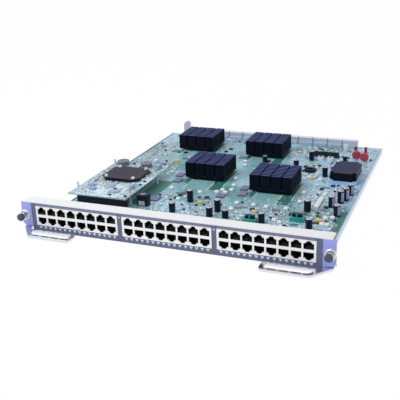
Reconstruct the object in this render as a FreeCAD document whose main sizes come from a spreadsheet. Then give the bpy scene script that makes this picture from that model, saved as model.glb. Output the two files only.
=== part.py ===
"""Switch line card: a 48-socket front panel, a populated board on a folded tray, two ejector levers and
two captive thumbscrews.

Millimetres. X runs along the panel, Y from the panel's face to the backplane connectors, Z up. The origin is
the middle of the card's footprint, on the plane that it stands on. Sizes below are written from the panel:
y = 0 is its front face and z = 0 its lower edge. seat() moves each piece from there to the origin.
"""
import FreeCAD, Part
import Sketcher
import os
import re

Vector = FreeCAD.Vector

# ---------------------------------------------------------------- driving sizes

SIZES = {
    # front panel: a plate with a flange folded back along its top
    "panel_high": 37.0, "panel_thick": 2.0, "field_side": 6.9, "end_wide": 14.5,
    "end_rise": 4.8, "end_chamfer": 4.0,
    "flange_deep": 17.5, "flange_thick": 1.4, "flange_end_gap": 6.0,
    "gasket_thick": 1.2, "gasket_end_gap": 4.0,
    "overlay_thick": 0.5, "overlay_edge_gap": 0.3, "window_gap": 0.3,
    # jack banks: a shield round a moulded body with rows of sockets
    "port_columns": 8, "port_pitch": 13.97, "bank_side": 1.42, "bank_gap": 6.2,
    "jack_high": 25.6, "jack_deep": 21.0, "jack_proud": 0.8, "shield_thick": 0.5,
    "port_web": 1.8, "port_lip": 0.135, "port_deep": 14.5, "port_high": 7.0, "port_bar": 3.7,
    "latch_wide": 6.0, "latch_high": 2.9,
    # tray and main board
    "tray_thick": 1.2, "tray_wall_high": 9.0, "tray_side_gap": 0.6, "tray_rear_gap": 1.0,
    "board_left_side": 1.4, "board_deep": 433.6, "board_thick": 2.0,
    "board_lift": 4.8, "board_front_gap": 0.4, "standoff_radius": 3.2,
    # heat sinks on the switching chips
    "chip_side": 38.0, "chip_high": 2.8, "sink_wide": 60.0, "sink_deep": 54.0, "sink_base": 3.0,
    "fin_high": 20.0, "fin_thick": 2.6, "fin_count": 10, "channel_wide": 1.6, "channel_count": 3,
    # daughter board on posts, with its flat heat sink
    "daughter_left_side": 2.9, "daughter_y": 79.0, "daughter_wide": 87.5, "daughter_deep": 143.0,
    "daughter_thick": 1.6, "daughter_lift": 12.4, "post_body_radius": 2.8,
    "post_head_radius": 1.9, "post_head_high": 9.0,
    "plug_wide": 72.0, "plug_deep": 8.0, "plug_share_high": 6.0, "plug_inset": 1.2,
    "processor_side": 31.0, "processor_high": 1.8, "plate_wide": 57.0, "plate_deep": 52.0,
    "plate_thick": 3.4, "plate_chamfer": 8.0, "plate_x": 46.0, "plate_y": 84.5,
    "pin_spacing": 42.0, "pin_head_radius": 2.6, "pin_head_high": 2.6,
    "coil_radius": 9.0, "coil_high": 6.5,
    # power converter
    "brick_from_right": 38.6, "brick_y": 250.0, "brick_wide": 37.0, "brick_deep": 55.0,
    "brick_base_high": 5.0, "brick_high": 12.0, "brick_notch": 5.0,
    # backplane connectors and guide post
    "segment_count": 12, "segment_pitch": 24.5, "segment_gap": 1.4, "segment_deep": 10.0,
    "segment_high": 11.5, "foot_deep": 4.0, "foot_high": 5.0, "connector_from_left": 33.1,
    "connector_overhang": 2.0, "guide_side": 10.0, "guide_high": 24.0, "guide_gap": 2.0,
    "guide_round": 3.0,
    # choke with a round window, upright regulator board and its coils
    "choke_from_left": 92.6, "choke_y": 94.0, "choke_wide": 15.0, "choke_deep": 13.0, "choke_high": 16.0,
    "choke_bore": 4.6, "choke_bore_deep": 3.0,
    "regulator_from_right": 86.6, "regulator_from_rear": 69.0, "regulator_wide": 39.0, "regulator_thick": 2.4,
    "regulator_high": 9.0, "square_coil_side": 8.6, "square_coil_high": 6.0, "square_coil_bore": 2.2,
    "toroid_radius": 8.8, "toroid_bore": 3.9, "toroid_high": 5.2,
    "disc_radius": 7.0, "disc_thick": 4.6, "disc_lift": 1.6, "lead_wide": 9.0, "lead_thick": 1.0,
    # ejector levers: a flat loop in front of the panel, turning on a pin behind its end
    "lever_rise": 0.9, "lever_thick": 3.4, "lever_long": 58.0, "lever_corner_in": 8.0,
    "lever_back": 6.0, "lever_reach": 26.0, "lever_arm": 3.8, "lever_front_arm": 5.0, "lever_end_arm": 5.0,
    "lever_throat_in": 4.0, "lever_neck_in": 5.0, "lever_neck_out": 5.0, "lever_fall": 3.5,
    "lever_round": 5.0, "lever_corner_round": 9.0, "slot_bevel": 1.8,
    "pivot_out": 7.5, "pivot_y": 8.0, "pivot_radius": 2.0, "pivot_clearance": 0.05,
    "claw_reach": 6.8, "claw_drop": 1.5, "claw_heel_out": 5.4, "claw_heel_back": 4.1,
    "pivot_head_radius": 3.4, "pivot_head_high": 0.6, "pivot_head_gap": 0.1,
    "bracket_high": 9.0, "bracket_deep": 15.0, "bracket_wide": 11.2, "bracket_gap": 0.4,
    # captive thumbscrews
    "thumb_out": 8.8, "thumb_z": 20.6, "collar_radius": 6.4, "collar_high": 4.0,
    "collar_floor": 1.2, "spring_pocket": 5.0, "shaft_radius": 2.2, "shaft_clearance": 0.3,
    "tip_radius": 2.0, "tip_gap": 0.4, "shaft_out": 7.0,
    "knob_radius": 4.8, "knob_high": 5.0, "knob_lift": 6.0, "knob_edge": 0.7, "knob_roof": 1.0,
    "washer_thick": 0.6, "washer_radius": 4.4, "washer_gap": 0.1, "washer_bore_gap": 0.2,
    "spring_radius": 4.2, "spring_wall": 0.8, "spring_gap": 0.05,
}

# Places on the main board, each counted from the edges that its letters name: L and R are the outer sides of
# the jack banks, M the card's middle, F the panel's face and B the board's rear edge.
SINK_PLACES = [("LB", 78.4, 65.1), ("MF", -34.4, 240.3), ("MB", 17.0, 69.6), ("MF", 72.0, 214.1)]
STANDOFF_PLACES = [("LF", 6.1, 30.0), ("MF", 3.0, 30.0), ("RF", 0.1, 30.0), ("LF", 6.1, 262.0),
                   ("MB", 3.0, 146.0), ("RF", -1.4, 235.0), ("LB", 13.1, 18.0), ("MB", 3.0, 22.0),
                   ("RB", 0.1, 18.0)]
# with radius and height
CAN_PLACES = [("MF", -31.9, 89.7, 4.6, 13.2), ("MF", -22.9, 129.6, 4.6, 17.2), ("MF", 19.9, 89.4, 4.6, 12.8),
              ("MF", 24.4, 107.7, 4.6, 17.0), ("MF", 41.0, 90.6, 4.6, 11.0), ("MF", 89.4, 88.4, 4.4, 13.5),
              ("RF", 43.7, 141.6, 5.0, 15.5), ("RF", 29.1, 88.5, 4.6, 12.8), ("RF", 17.1, 164.3, 4.8, 15.3),
              ("RF", 4.6, 136.0, 4.8, 15.5), ("RF", 1.7, 214.0, 4.6, 15.5), ("RF", 9.1, 182.0, 4.8, 17.5),
              ("RF", 4.6, 193.6, 4.8, 17.5), ("RF", 50.6, 278.3, 4.2, 14.8), ("RB", 86.5, 88.0, 4.2, 15.0),
              ("RF", 35.1, 350.0, 3.6, 10.5), ("MB", 77.7, 129.2, 4.2, 12.5), ("MB", 26.2, 121.1, 4.2, 12.2)]
# with width, depth and height: flat packages
CHIP_PLACES = [("MF", -73.0, 125.0, 15.0, 17.0, 1.6), ("MF", -72.5, 202.0, 13.0, 17.0, 1.4),
               ("MF", -78.0, 226.0, 13.0, 17.0, 1.4), ("MF", 36.0, 176.0, 13.0, 17.0, 1.4),
               ("MF", 32.0, 198.0, 13.0, 17.0, 1.4), ("LF", 50.1, 262.0, 18.0, 16.0, 1.6),
               ("MF", 10.0, 160.0, 13.0, 13.0, 1.6), ("MF", -40.0, 160.0, 13.0, 13.0, 1.6)]
# the same: moulded yellow and tan capacitors
BEAD_PLACES = [("MF", -8.0, 128.0, 7.3, 4.3, 3.0), ("MF", 70.8, 117.0, 7.3, 4.3, 3.0),
               ("RF", 22.6, 111.0, 8.0, 6.0, 4.0), ("RF", 66.1, 262.0, 7.3, 4.3, 3.0),
               ("LF", 70.1, 285.0, 7.3, 4.3, 3.0)]
# the same: white connectors and headers
HEADER_PLACES = [("RF", 35.1, 171.0, 6.0, 40.0, 3.0), ("RB", 45.1, 28.0, 6.0, 4.5, 13.0),
                 ("RB", 18.1, 34.0, 9.0, 6.0, 5.0), ("RF", 13.1, 100.0, 12.0, 8.0, 4.0)]
FILTER_PLACES = [("RF", 48.1, 107.0), ("MF", 75.5, 85.0)]
FILTER_SIZE = {"filter_wide": 18.0, "filter_deep": 11.0, "filter_high": 6.0,
               "core_wide": 13.0, "core_deep": 6.0, "core_high": 4.0}
SQUARE_COIL_PLACES = [("RB", 73.1, 84.0), ("RB", 58.1, 84.0)]
TOROID_PLACES = [("RF", 76.1, 295.0)]
DISC_PLACES = [("RB", 20.6, 71.0), ("RB", 7.6, 78.0)]
# with radius and height
FUSE_PLACES = [("RB", 26.6, 42.0, 2.4, 13.0), ("RB", 11.1, 42.0, 2.4, 13.0)]
# On the daughter board: x from its left edge, y from its front edge.
POST_PLACES = [(4.5, 20.0), (6.0, 125.0), (83.5, 20.0), (83.5, 104.0)]
ROUND_COIL_PLACES = [(17.0, 131.0), (55.0, 131.0)]
DAUGHTER_CHIP_PLACES = [(17.5, 34.5, 9.0, 6.0, 3.0), (9.0, 57.0, 11.0, 9.0, 1.8),
                        (42.0, 41.0, 17.0, 12.0, 1.4), (59.0, 22.0, 17.0, 12.0, 1.4),
                        (25.0, 23.5, 11.0, 7.0, 2.8), (77.0, 40.0, 7.0, 9.0, 5.0),
                        (76.0, 128.0, 9.0, 12.0, 6.0)]

ON_CARD = ("from", "x", "y")
TABLES = {
    "sink": (SINK_PLACES, ON_CARD),
    "standoff": (STANDOFF_PLACES, ON_CARD),
    "can": (CAN_PLACES, (*ON_CARD, "radius", "high")),
    "chip": (CHIP_PLACES, (*ON_CARD, "wide", "deep", "high")),
    "bead": (BEAD_PLACES, (*ON_CARD, "wide", "deep", "high")),
    "header": (HEADER_PLACES, (*ON_CARD, "wide", "deep", "high")),
    "filter": (FILTER_PLACES, ON_CARD),
    "square_coil": (SQUARE_COIL_PLACES, ON_CARD),
    "toroid": (TOROID_PLACES, ON_CARD),
    "disc": (DISC_PLACES, ON_CARD),
    "fuse": (FUSE_PLACES, (*ON_CARD, "radius", "high")),
    "post": (POST_PLACES, ("x", "y")),
    "round_coil": (ROUND_COIL_PLACES, ("x", "y")),
    "daughter_chip": (DAUGHTER_CHIP_PLACES, ("x", "y", "wide", "deep", "high")),
}

# How many flat sides the small round parts get.
POST_SIDES, CAN_SIDES, COIL_SIDES, KNOB_SIDES = 6, 10, 16, 20

# ---------------------------------------------------------------- worked-out places, as expressions

BANK_WIDE = "(port_columns*port_pitch + 2*bank_side)"
BANK_PITCH = f"({BANK_WIDE} + bank_gap)"
BANKS_HALF = f"(1.5*{BANK_WIDE} + bank_gap)"
FIELD = f"({BANKS_HALF} + field_side)"
PANEL_HALF = f"({FIELD} + end_wide)"
PORT_WIDE = "(port_pitch - port_web - 2*port_lip)"
BOARD_LEFT = f"({BANKS_HALF} + board_left_side)"
BOARD_BOTTOM = "(tray_thick + board_lift)"
BOARD_TOP = "(tray_thick + board_lift + board_thick)"
BOARD_FRONT = "(panel_thick + board_front_gap)"
BOARD_REAR = "(panel_thick + board_front_gap + board_deep)"
CARD_REAR = "(panel_thick + board_front_gap + board_deep + connector_overhang)"
MID_DEPTH = "((panel_thick + board_front_gap + board_deep + connector_overhang - lever_reach)/2)"
JACK_FRONT = "(-jack_proud)"
ROW_HIGH = "(port_high + latch_high)"
PORT_MIDDLE = "(tray_thick + board_lift + board_thick + jack_high/2)"
FLANGE_TOP = "panel_high"
DAUGHTER_X = f"(-{BANKS_HALF} - daughter_left_side)"
BRICK_X = f"({BANKS_HALF} - brick_from_right)"
CHOKE_X = f"(choke_from_left - {BANKS_HALF})"
CONNECTOR_X = f"(connector_from_left - {BANKS_HALF})"
REGULATOR_X = f"({BANKS_HALF} - regulator_from_right)"
REGULATOR_Y = f"({BOARD_REAR} - regulator_from_rear)"
PIVOT_X = f"({FIELD} + pivot_out)"
THUMB_X = f"({FIELD} + thumb_out)"
SINK_BOTTOM = f"({BOARD_TOP} + chip_high)"
FIN_BOTTOM = f"({BOARD_TOP} + chip_high + sink_base)"
DAUGHTER_BOTTOM = f"({BOARD_TOP} + daughter_lift)"
DAUGHTER_TOP = f"({BOARD_TOP} + daughter_lift + daughter_thick)"
PLATE_BOTTOM = f"({DAUGHTER_TOP} + processor_high)"
PLATE_TOP = f"({DAUGHTER_TOP} + processor_high + plate_thick)"
LEVER_TOP = "(lever_rise + lever_thick)"
BRACKET_BOTTOM = "(lever_rise + lever_thick + bracket_gap)"
KNOB_BACK = "(-collar_high - knob_lift)"
KNOB_FRONT = "(-collar_high - knob_lift - knob_high)"
WASHER_FRONT = "(-collar_high - knob_lift + washer_gap)"
WASHER_BACK = "(-collar_high - knob_lift + washer_gap + washer_thick)"

doc = FreeCAD.newDocument("LineCard")
sheet = doc.addObject("Spreadsheet::Sheet", "Sheet")
NODES = []


def fill_sheet():
    """Every driving size and place gets a cell with an alias."""
    cells = dict(SIZES)
    cells.update(FILTER_SIZE)
    for name, (rows, fields) in TABLES.items():
        for number, row in enumerate(rows, 1):
            for field, entry in zip(fields, row):
                if field != "from":
                    cells[f"{name}_{number}_{field}"] = entry
    for line, (alias, number) in enumerate(cells.items(), 1):
        sheet.set(f"A{line}", alias)
        sheet.set(f"B{line}", str(number))
        sheet.setAlias(f"B{line}", alias)
    doc.recompute()


def bound(text):
    """The same expression with each name looked up in the sheet."""
    return re.sub(r"\b([a-z]\w*)\b(?!\()", r"Sheet.\1", str(text))


def value(text):
    """What an expression gives with the sheet as it is."""
    return float(sheet.evalExpression(str(text)))


def seat(obj, x="0", y="0", z="0"):
    """Places obj at a point measured from the panel."""
    obj.setExpression("Placement.Base.x", bound(x))
    obj.setExpression("Placement.Base.y", bound(f"({y}) - {MID_DEPTH}"))
    obj.setExpression("Placement.Base.z", bound(z))
    return obj


def node(obj, label):
    """Names obj as a sub-part that gets a file."""
    obj.Label = label
    NODES.append(obj)
    return obj


# ---------------------------------------------------------------- Part helpers

def block(name, low, size):
    obj = doc.addObject("Part::Box", name)
    for side, text in zip(("Length", "Width", "Height"), size):
        obj.setExpression(side, bound(text))
    return seat(obj, *low)


def prism(name, foot, radius, high, sides):
    """An upright part with flat sides, for round things too small or too many to be turned."""
    obj = doc.addObject("Part::Prism", name)
    obj.Polygon = sides
    obj.setExpression("Circumradius", bound(radius))
    obj.setExpression("Height", bound(high))
    return seat(obj, *foot)


def group(label, members):
    """Like pieces that share a node, each a solid of its own."""
    obj = doc.addObject("Part::Compound", label)
    obj.Links = members
    return node(obj, label)


def fused(name, members):
    obj = doc.addObject("Part::MultiFuse", name)
    obj.Shapes = members
    return obj


def cut(name, base, tool):
    obj = doc.addObject("Part::Cut", name)
    obj.Base, obj.Tool = base, tool
    return obj


def table_rows(name):
    """Each row of a table as expressions: its places counted from the edges that the row names."""
    rows, fields = TABLES[name]
    found = []
    for number, row in enumerate(rows, 1):
        at = {field: f"{name}_{number}_{field}" for field in fields if field != "from"}
        across, along = row[0] if "from" in fields else "MF"
        at["x"] = {"L": f"({at['x']} - {BANKS_HALF})", "M": at["x"],
                   "R": f"({BANKS_HALF} - {at['x']})"}[across]
        at["y"] = {"F": at["y"], "B": f"({BOARD_REAR} - {at['y']})"}[along]
        found.append(at)
    return found


def packages(label, name, floor, shift_x="0", shift_y="0"):
    """Rectangular packages of a table, standing on a floor."""
    found = []
    for number, at in enumerate(table_rows(name), 1):
        low = (f"{shift_x} + {at['x']} - {at['wide']}/2", f"{shift_y} + {at['y']} - {at['deep']}/2", floor)
        found.append(block(f"{label}_{number}", low, (at["wide"], at["deep"], at["high"])))
    return group(label, found)


def cans(label, name):
    """Upright round parts of a table, standing on the main board."""
    found = []
    for number, at in enumerate(table_rows(name), 1):
        foot = (at["x"], at["y"], BOARD_TOP)
        found.append(prism(f"{label}_{number}", foot, at["radius"], at["high"], CAN_SIDES))
    return group(label, found)


# ---------------------------------------------------------------- PartDesign helpers

def new_body(label, many=False):
    body = doc.addObject("PartDesign::Body", label)
    body.AllowCompound = many
    return node(body, label)


def origin_part(body, role):
    return next(item for item in body.Origin.OriginFeatures if item.Role == role)


def sketch(body, name, plane, at="0"):
    """A sketch on one of the body's own planes, moved along that plane's axis to the place at."""
    sk = body.newObject("Sketcher::SketchObject", name)
    sk.AttachmentSupport = [(origin_part(body, plane + "_Plane"), "")]
    sk.MapMode = "FlatFace"
    sign = "-" if plane == "XZ" else ""
    sk.setExpression("AttachmentOffset.Base.z", bound(f"{sign}({at})"))
    return sk


def pin_point(sk, line, where, x, y, place):
    """Holds one point of the sketch at two named distances from its origin."""
    for kind, text, number in (("DistanceX", x, place[0]), ("DistanceY", y, place[1])):
        index = sk.addConstraint(Sketcher.Constraint(kind, -1, 1, line, where, number))
        sk.setExpression(f"Constraints[{index}]", bound(text))


def outline(sk, points):
    """A closed outline of straight lines through points given as expressions."""
    places = [(value(x), value(y)) for x, y in points]
    first, count = sk.GeometryCount, len(points)
    for number, start in enumerate(places):
        end = places[(number + 1) % count]
        sk.addGeometry(Part.LineSegment(Vector(*start, 0), Vector(*end, 0)), False)
    for number, (x, y) in enumerate(points):
        following = first + (number + 1) % count
        sk.addConstraint(Sketcher.Constraint("Coincident", first + number, 2, following, 1))
        pin_point(sk, first + number, 1, x, y, places[number])


def rectangle(sk, x_low, y_low, x_high, y_high):
    outline(sk, [(x_low, y_low), (x_high, y_low), (x_high, y_high), (x_low, y_high)])


def circle(sk, x, y, radius):
    place = (value(x), value(y))
    ring = sk.addGeometry(Part.Circle(Vector(*place, 0), Vector(0, 0, 1), value(radius)), False)
    pin_point(sk, ring, 3, x, y, place)
    index = sk.addConstraint(Sketcher.Constraint("Radius", ring, value(radius)))
    sk.setExpression(f"Constraints[{index}]", bound(radius))


def polygon(sk, x, y, radius, sides):
    """A regular outline, for rings, cups and knobs that are shown with flats."""
    outline(sk, [(f"{x} + ({radius})*cos({360*step/sides})", f"{y} + ({radius})*sin({360*step/sides})")
                 for step in range(sides)])


def pad(body, sk, length, back=False, both=False):
    """Adds the sketch's area, drawn out along its normal, or against it when back is set."""
    obj = body.newObject("PartDesign::Pad", sk.Name + "_pad")
    obj.Profile = sk
    obj.Reversed = back
    if both:
        obj.SideType = "Symmetric"
    obj.setExpression("Length", bound(length))
    return obj


def pocket(body, sk, length, back=False):
    """Cuts the sketch's area, against its normal, or along it when back is set."""
    obj = body.newObject("PartDesign::Pocket", sk.Name + "_cut")
    obj.Profile = sk
    obj.Reversed = back
    obj.setExpression("Length", bound(length))
    return obj


def row_of(body, feature, axis, count, pitch):
    """Repeats a feature along one of the body's axes."""
    obj = body.newObject("PartDesign::LinearPattern", feature.Name + "_row")
    obj.Originals = [feature]
    obj.Direction = (origin_part(body, axis + "_Axis"), [""])
    obj.setExpression("Occurrences", bound(count))
    obj.setExpression("Length", bound(f"({count} - 1)*{pitch}"))
    body.Tip = obj
    return obj


def eased(body, feature, kind, places, size):
    """Rounds or bevels (kind is Fillet or Chamfer) the upright edges that stand at the named places."""
    doc.recompute()
    spots = [Vector(value(x), value(y), 0) for x, y in places]
    names = []
    for number, edge in enumerate(feature.Shape.Edges, 1):
        start, end = (Vector(v.X, v.Y, 0) for v in (edge.Vertexes[0], edge.Vertexes[-1]))
        if start.isEqual(end, 1e-4) and any(start.isEqual(spot, 1e-3) for spot in spots):
            names.append(f"Edge{number}")
    obj = body.newObject(f"PartDesign::{kind}", f"{feature.Name}_{size}")
    obj.Base = (feature, names)
    obj.setExpression("Radius" if kind == "Fillet" else "Size", bound(size))
    return obj


def turned(label, points):
    """A body turned about its Y axis from an outline of radius and y."""
    body = new_body(label)
    sk = sketch(body, label + "_profile", "XY")
    outline(sk, points)
    obj = body.newObject("PartDesign::Revolution", label + "_turn")
    obj.Profile = sk
    obj.ReferenceAxis = (sk, ["V_Axis"])
    obj.Angle = 360
    return body


# ---------------------------------------------------------------- front panel

def bank_windows(body, name, depth, back=False):
    """One opening for each bank of jacks."""
    sk = sketch(body, name, "XZ")
    half = f"({BANK_WIDE}/2 + window_gap)"
    rectangle(sk, f"-{BANK_PITCH} - {half}", f"{BOARD_TOP} - window_gap",
              f"-{BANK_PITCH} + {half}", f"{BOARD_TOP} + jack_high + window_gap")
    row_of(body, pocket(body, sk, depth, back), "X", "3", BANK_PITCH)


def front_panel():
    body = new_body("front_panel")
    plate = sketch(body, "panel_plate", "XZ")
    half, field = PANEL_HALF, FIELD
    outline(plate, [
        (f"-{field}", "0"), (field, "0"), (field, "end_rise"),
        (f"{half} - end_chamfer", "end_rise"), (half, "end_rise + end_chamfer"),
        (half, "panel_high"), (f"-{half}", "panel_high"), (f"-{half}", "end_rise + end_chamfer"),
        (f"-({half} - end_chamfer)", "end_rise"), (f"-{field}", "end_rise")])
    pad(body, plate, "panel_thick", back=True)
    flange = sketch(body, "panel_flange", "XY", f"{FLANGE_TOP} - flange_thick")
    rectangle(flange, f"-({half} - flange_end_gap)", "panel_thick/2",
              f"{half} - flange_end_gap", "flange_deep")
    pad(body, flange, "flange_thick")
    bank_windows(body, "panel_windows", "panel_thick")
    holes = sketch(body, "panel_screw_holes", "XZ")
    for side in ("-", ""):
        circle(holes, f"{side}{THUMB_X}", "thumb_z", "shaft_radius + shaft_clearance")
    body.Tip = pocket(body, holes, "panel_thick")
    seat(body)


def panel_overlay():
    """The printed film that covers the panel between its painted ends."""
    body = new_body("panel_overlay")
    film = sketch(body, "overlay_film", "XZ")
    rectangle(film, f"-({FIELD} - overlay_edge_gap)", "overlay_edge_gap",
              f"{FIELD} - overlay_edge_gap", "panel_high - overlay_edge_gap")
    pad(body, film, "overlay_thick")
    bank_windows(body, "overlay_windows", "overlay_thick", back=True)
    seat(body)


def top_gasket():
    """The metallised strip that closes the gap to the card above."""
    body = new_body("top_gasket")
    strip = sketch(body, "gasket_strip", "XY", FLANGE_TOP)
    half = f"({PANEL_HALF} - gasket_end_gap)"
    rectangle(strip, f"-{half}", "0", half, "flange_deep")
    pad(body, strip, "gasket_thick")
    seat(body)


# ---------------------------------------------------------------- jack banks

def port_outline(side, centre):
    """A socket's mouth with its latch notch: side is 1 for the upper row and -1 for the lower."""
    floor, shoulder, top = (f"{PORT_MIDDLE} + {side}*(port_bar/2 + {rise})"
                            for rise in ("0", "port_high", ROW_HIGH))
    return [(f"{centre} - {PORT_WIDE}/2", floor), (f"{centre} + {PORT_WIDE}/2", floor),
            (f"{centre} + {PORT_WIDE}/2", shoulder), (f"{centre} + latch_wide/2", shoulder),
            (f"{centre} + latch_wide/2", top), (f"{centre} - latch_wide/2", top),
            (f"{centre} - latch_wide/2", shoulder), (f"{centre} - {PORT_WIDE}/2", shoulder)]


def jack_shield(number, bank_x):
    """A tinned can, open below, with a notched mouth in front of each socket."""
    body = new_body(f"jack_shield_{number}")
    can = sketch(body, f"shield_can_{number}", "XY", BOARD_TOP)
    rectangle(can, f"-{BANK_WIDE}/2", JACK_FRONT, f"{BANK_WIDE}/2", f"{JACK_FRONT} + jack_deep")
    pad(body, can, "jack_high")
    hollow = sketch(body, f"shield_hollow_{number}", "XY", BOARD_TOP)
    rectangle(hollow, f"-({BANK_WIDE}/2 - shield_thick)", f"{JACK_FRONT} + shield_thick",
              f"{BANK_WIDE}/2 - shield_thick", f"{JACK_FRONT} + jack_deep - shield_thick")
    pocket(body, hollow, "jack_high - shield_thick", back=True)
    mouths = sketch(body, f"shield_mouths_{number}", "XZ", JACK_FRONT)
    first = "-(port_columns - 1)*port_pitch/2"
    outline(mouths, port_outline(1, first))
    outline(mouths, port_outline(-1, first))
    row_of(body, pocket(body, mouths, "2*shield_thick"), "X", "port_columns", "port_pitch")
    seat(body, bank_x)


def jack_body(number, bank_x):
    """The moulded body: a back block with a floor, a shelf and a roof that run along both rows."""
    body = new_body(f"jack_body_{number}")
    sk = sketch(body, f"jack_section_{number}", "YZ")
    front, back = f"({JACK_FRONT} + shield_thick)", f"({JACK_FRONT} + jack_deep - shield_thick)"
    rest = f"({JACK_FRONT} + shield_thick + port_deep)"
    shelf_low, shelf_high = f"({PORT_MIDDLE} - port_bar/2)", f"({PORT_MIDDLE} + port_bar/2)"
    outline(sk, [
        (front, BOARD_TOP), (back, BOARD_TOP), (back, f"{BOARD_TOP} + jack_high - shield_thick"),
        (front, f"{BOARD_TOP} + jack_high - shield_thick"), (front, f"{shelf_high} + {ROW_HIGH}"),
        (rest, f"{shelf_high} + {ROW_HIGH}"), (rest, shelf_high), (front, shelf_high),
        (front, shelf_low), (rest, shelf_low), (rest, f"{shelf_low} - {ROW_HIGH}"),
        (front, f"{shelf_low} - {ROW_HIGH}")])
    pad(body, sk, f"{BANK_WIDE} - 2*shield_thick", both=True)
    seat(body, bank_x)


def jack_webs(number, bank_x):
    """The partitions between neighbouring sockets, and at both ends of each row."""
    body = new_body(f"jack_webs_{number}", many=True)
    sk = sketch(body, f"web_{number}", "XZ", f"{JACK_FRONT} + shield_thick")
    first = "-port_columns*port_pitch/2"
    for side in (1, -1):
        rectangle(sk, f"{first} - port_web/2", f"{PORT_MIDDLE} + {side}*port_bar/2",
                  f"{first} + port_web/2", f"{PORT_MIDDLE} + {side}*(port_bar/2 + {ROW_HIGH})")
    row_of(body, pad(body, sk, "port_deep", back=True), "X", "(port_columns + 1)", "port_pitch")
    seat(body, bank_x)


# ---------------------------------------------------------------- tray and main board

def base_tray():
    """A folded sheet: a floor with a wall along each side of the board."""
    body = new_body("base_tray")
    sk = sketch(body, "tray_section", "XZ", "panel_thick")
    left = f"-({BOARD_LEFT} + tray_side_gap + tray_thick)"
    right = f"({FIELD} + tray_side_gap + tray_thick)"
    outline(sk, [
        (left, "0"), (right, "0"), (right, "tray_wall_high"), (f"{right} - tray_thick", "tray_wall_high"),
        (f"{right} - tray_thick", "tray_thick"), (f"{left} + tray_thick", "tray_thick"),
        (f"{left} + tray_thick", "tray_wall_high"), (left, "tray_wall_high")])
    pad(body, sk, "board_front_gap + board_deep - tray_rear_gap", back=True)
    seat(body)


def main_board():
    size = (f"{BOARD_LEFT} + {FIELD}", "board_deep", "board_thick")
    node(block("main_board", (f"-{BOARD_LEFT}", BOARD_FRONT, BOARD_BOTTOM), size), "main_board")


def board_posts():
    """Hexagonal posts pressed into the tray's floor."""
    found = []
    for number, at in enumerate(table_rows("standoff"), 1):
        foot = (at["x"], at["y"], "tray_thick")
        found.append(prism(f"board_post_{number}", foot, "standoff_radius", "board_lift", POST_SIDES))
    group("board_posts", found)


# ---------------------------------------------------------------- chips and heat sinks

def switch_chips():
    found = []
    for number, at in enumerate(table_rows("sink"), 1):
        low = (f"{at['x']} - chip_side/2", f"{at['y']} - chip_side/2", BOARD_TOP)
        found.append(block(f"switch_chip_{number}", low, ("chip_side", "chip_side", "chip_high")))
    group("switch_chips", found)


def heat_sink(number, at):
    """A base with rows of upright fins, sawn through by channels into four stacks."""
    body = new_body(f"heat_sink_{number}")
    base = sketch(body, f"sink_base_{number}", "XY", SINK_BOTTOM)
    rectangle(base, "-sink_wide/2", "-sink_deep/2", "sink_wide/2", "sink_deep/2")
    pad(body, base, "sink_base")
    fin = sketch(body, f"sink_fin_{number}", "XY", FIN_BOTTOM)
    rectangle(fin, "-sink_wide/2", "-sink_deep/2", "sink_wide/2", "-sink_deep/2 + fin_thick")
    fins = pad(body, fin, "fin_high")
    row_of(body, fins, "Y", "fin_count", "(sink_deep - fin_thick)/(fin_count - 1)")
    channel = sketch(body, f"sink_channel_{number}", "XY", FIN_BOTTOM)
    pitch = "(sink_wide + channel_wide)/(channel_count + 1)"
    left = f"-sink_wide/2 + {pitch} - channel_wide"
    rectangle(channel, left, "-sink_deep/2", f"{left} + channel_wide", "sink_deep/2")
    row_of(body, pocket(body, channel, "fin_high", back=True), "X", "channel_count", pitch)
    seat(body, at["x"], at["y"])


# ---------------------------------------------------------------- daughter board

def on_daughter(name):
    """Rows of a table that counts from the daughter board's corner, as places on the card."""
    return [dict(at, x=f"({DAUGHTER_X} + {at['x']})", y=f"(daughter_y + {at['y']})")
            for at in table_rows(name)]


def plate_pins():
    """The four places of the push pins, round the middle of the flat heat sink."""
    return [(f"{DAUGHTER_X} + plate_x + {i}*pin_spacing/2", f"daughter_y + plate_y + {j}*pin_spacing/2")
            for i in (-1, 1) for j in (-1, 1)]


def daughter_board():
    size = ("daughter_wide", "daughter_deep", "daughter_thick")
    node(block("daughter_board", (DAUGHTER_X, "daughter_y", DAUGHTER_BOTTOM), size), "daughter_board")


def daughter_posts():
    """Snap-in posts: a body between the boards and a slim head above the upper one."""
    found = []
    for number, at in enumerate(on_daughter("post"), 1):
        place = (at["x"], at["y"])
        found.append(prism(f"post_body_{number}", (*place, BOARD_TOP), "post_body_radius", "daughter_lift",
                           POST_SIDES))
        found.append(prism(f"post_head_{number}", (*place, DAUGHTER_TOP), "post_head_radius",
                           "post_head_high", POST_SIDES))
    group("daughter_posts", found)


def mezzanine_connector():
    """A plug under the daughter board's front edge and the socket that it stands in."""
    low_x, low_y = f"{DAUGHTER_X} + daughter_wide - plug_wide - 2*plug_inset", "daughter_y + plug_inset"
    size = ("plug_wide", "plug_deep")
    node(block("board_socket", (low_x, low_y, BOARD_TOP), (*size, "daughter_lift - plug_share_high")),
         "board_socket")
    node(block("daughter_plug", (low_x, low_y, f"{DAUGHTER_BOTTOM} - plug_share_high"),
               (*size, "plug_share_high")), "daughter_plug")


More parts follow.
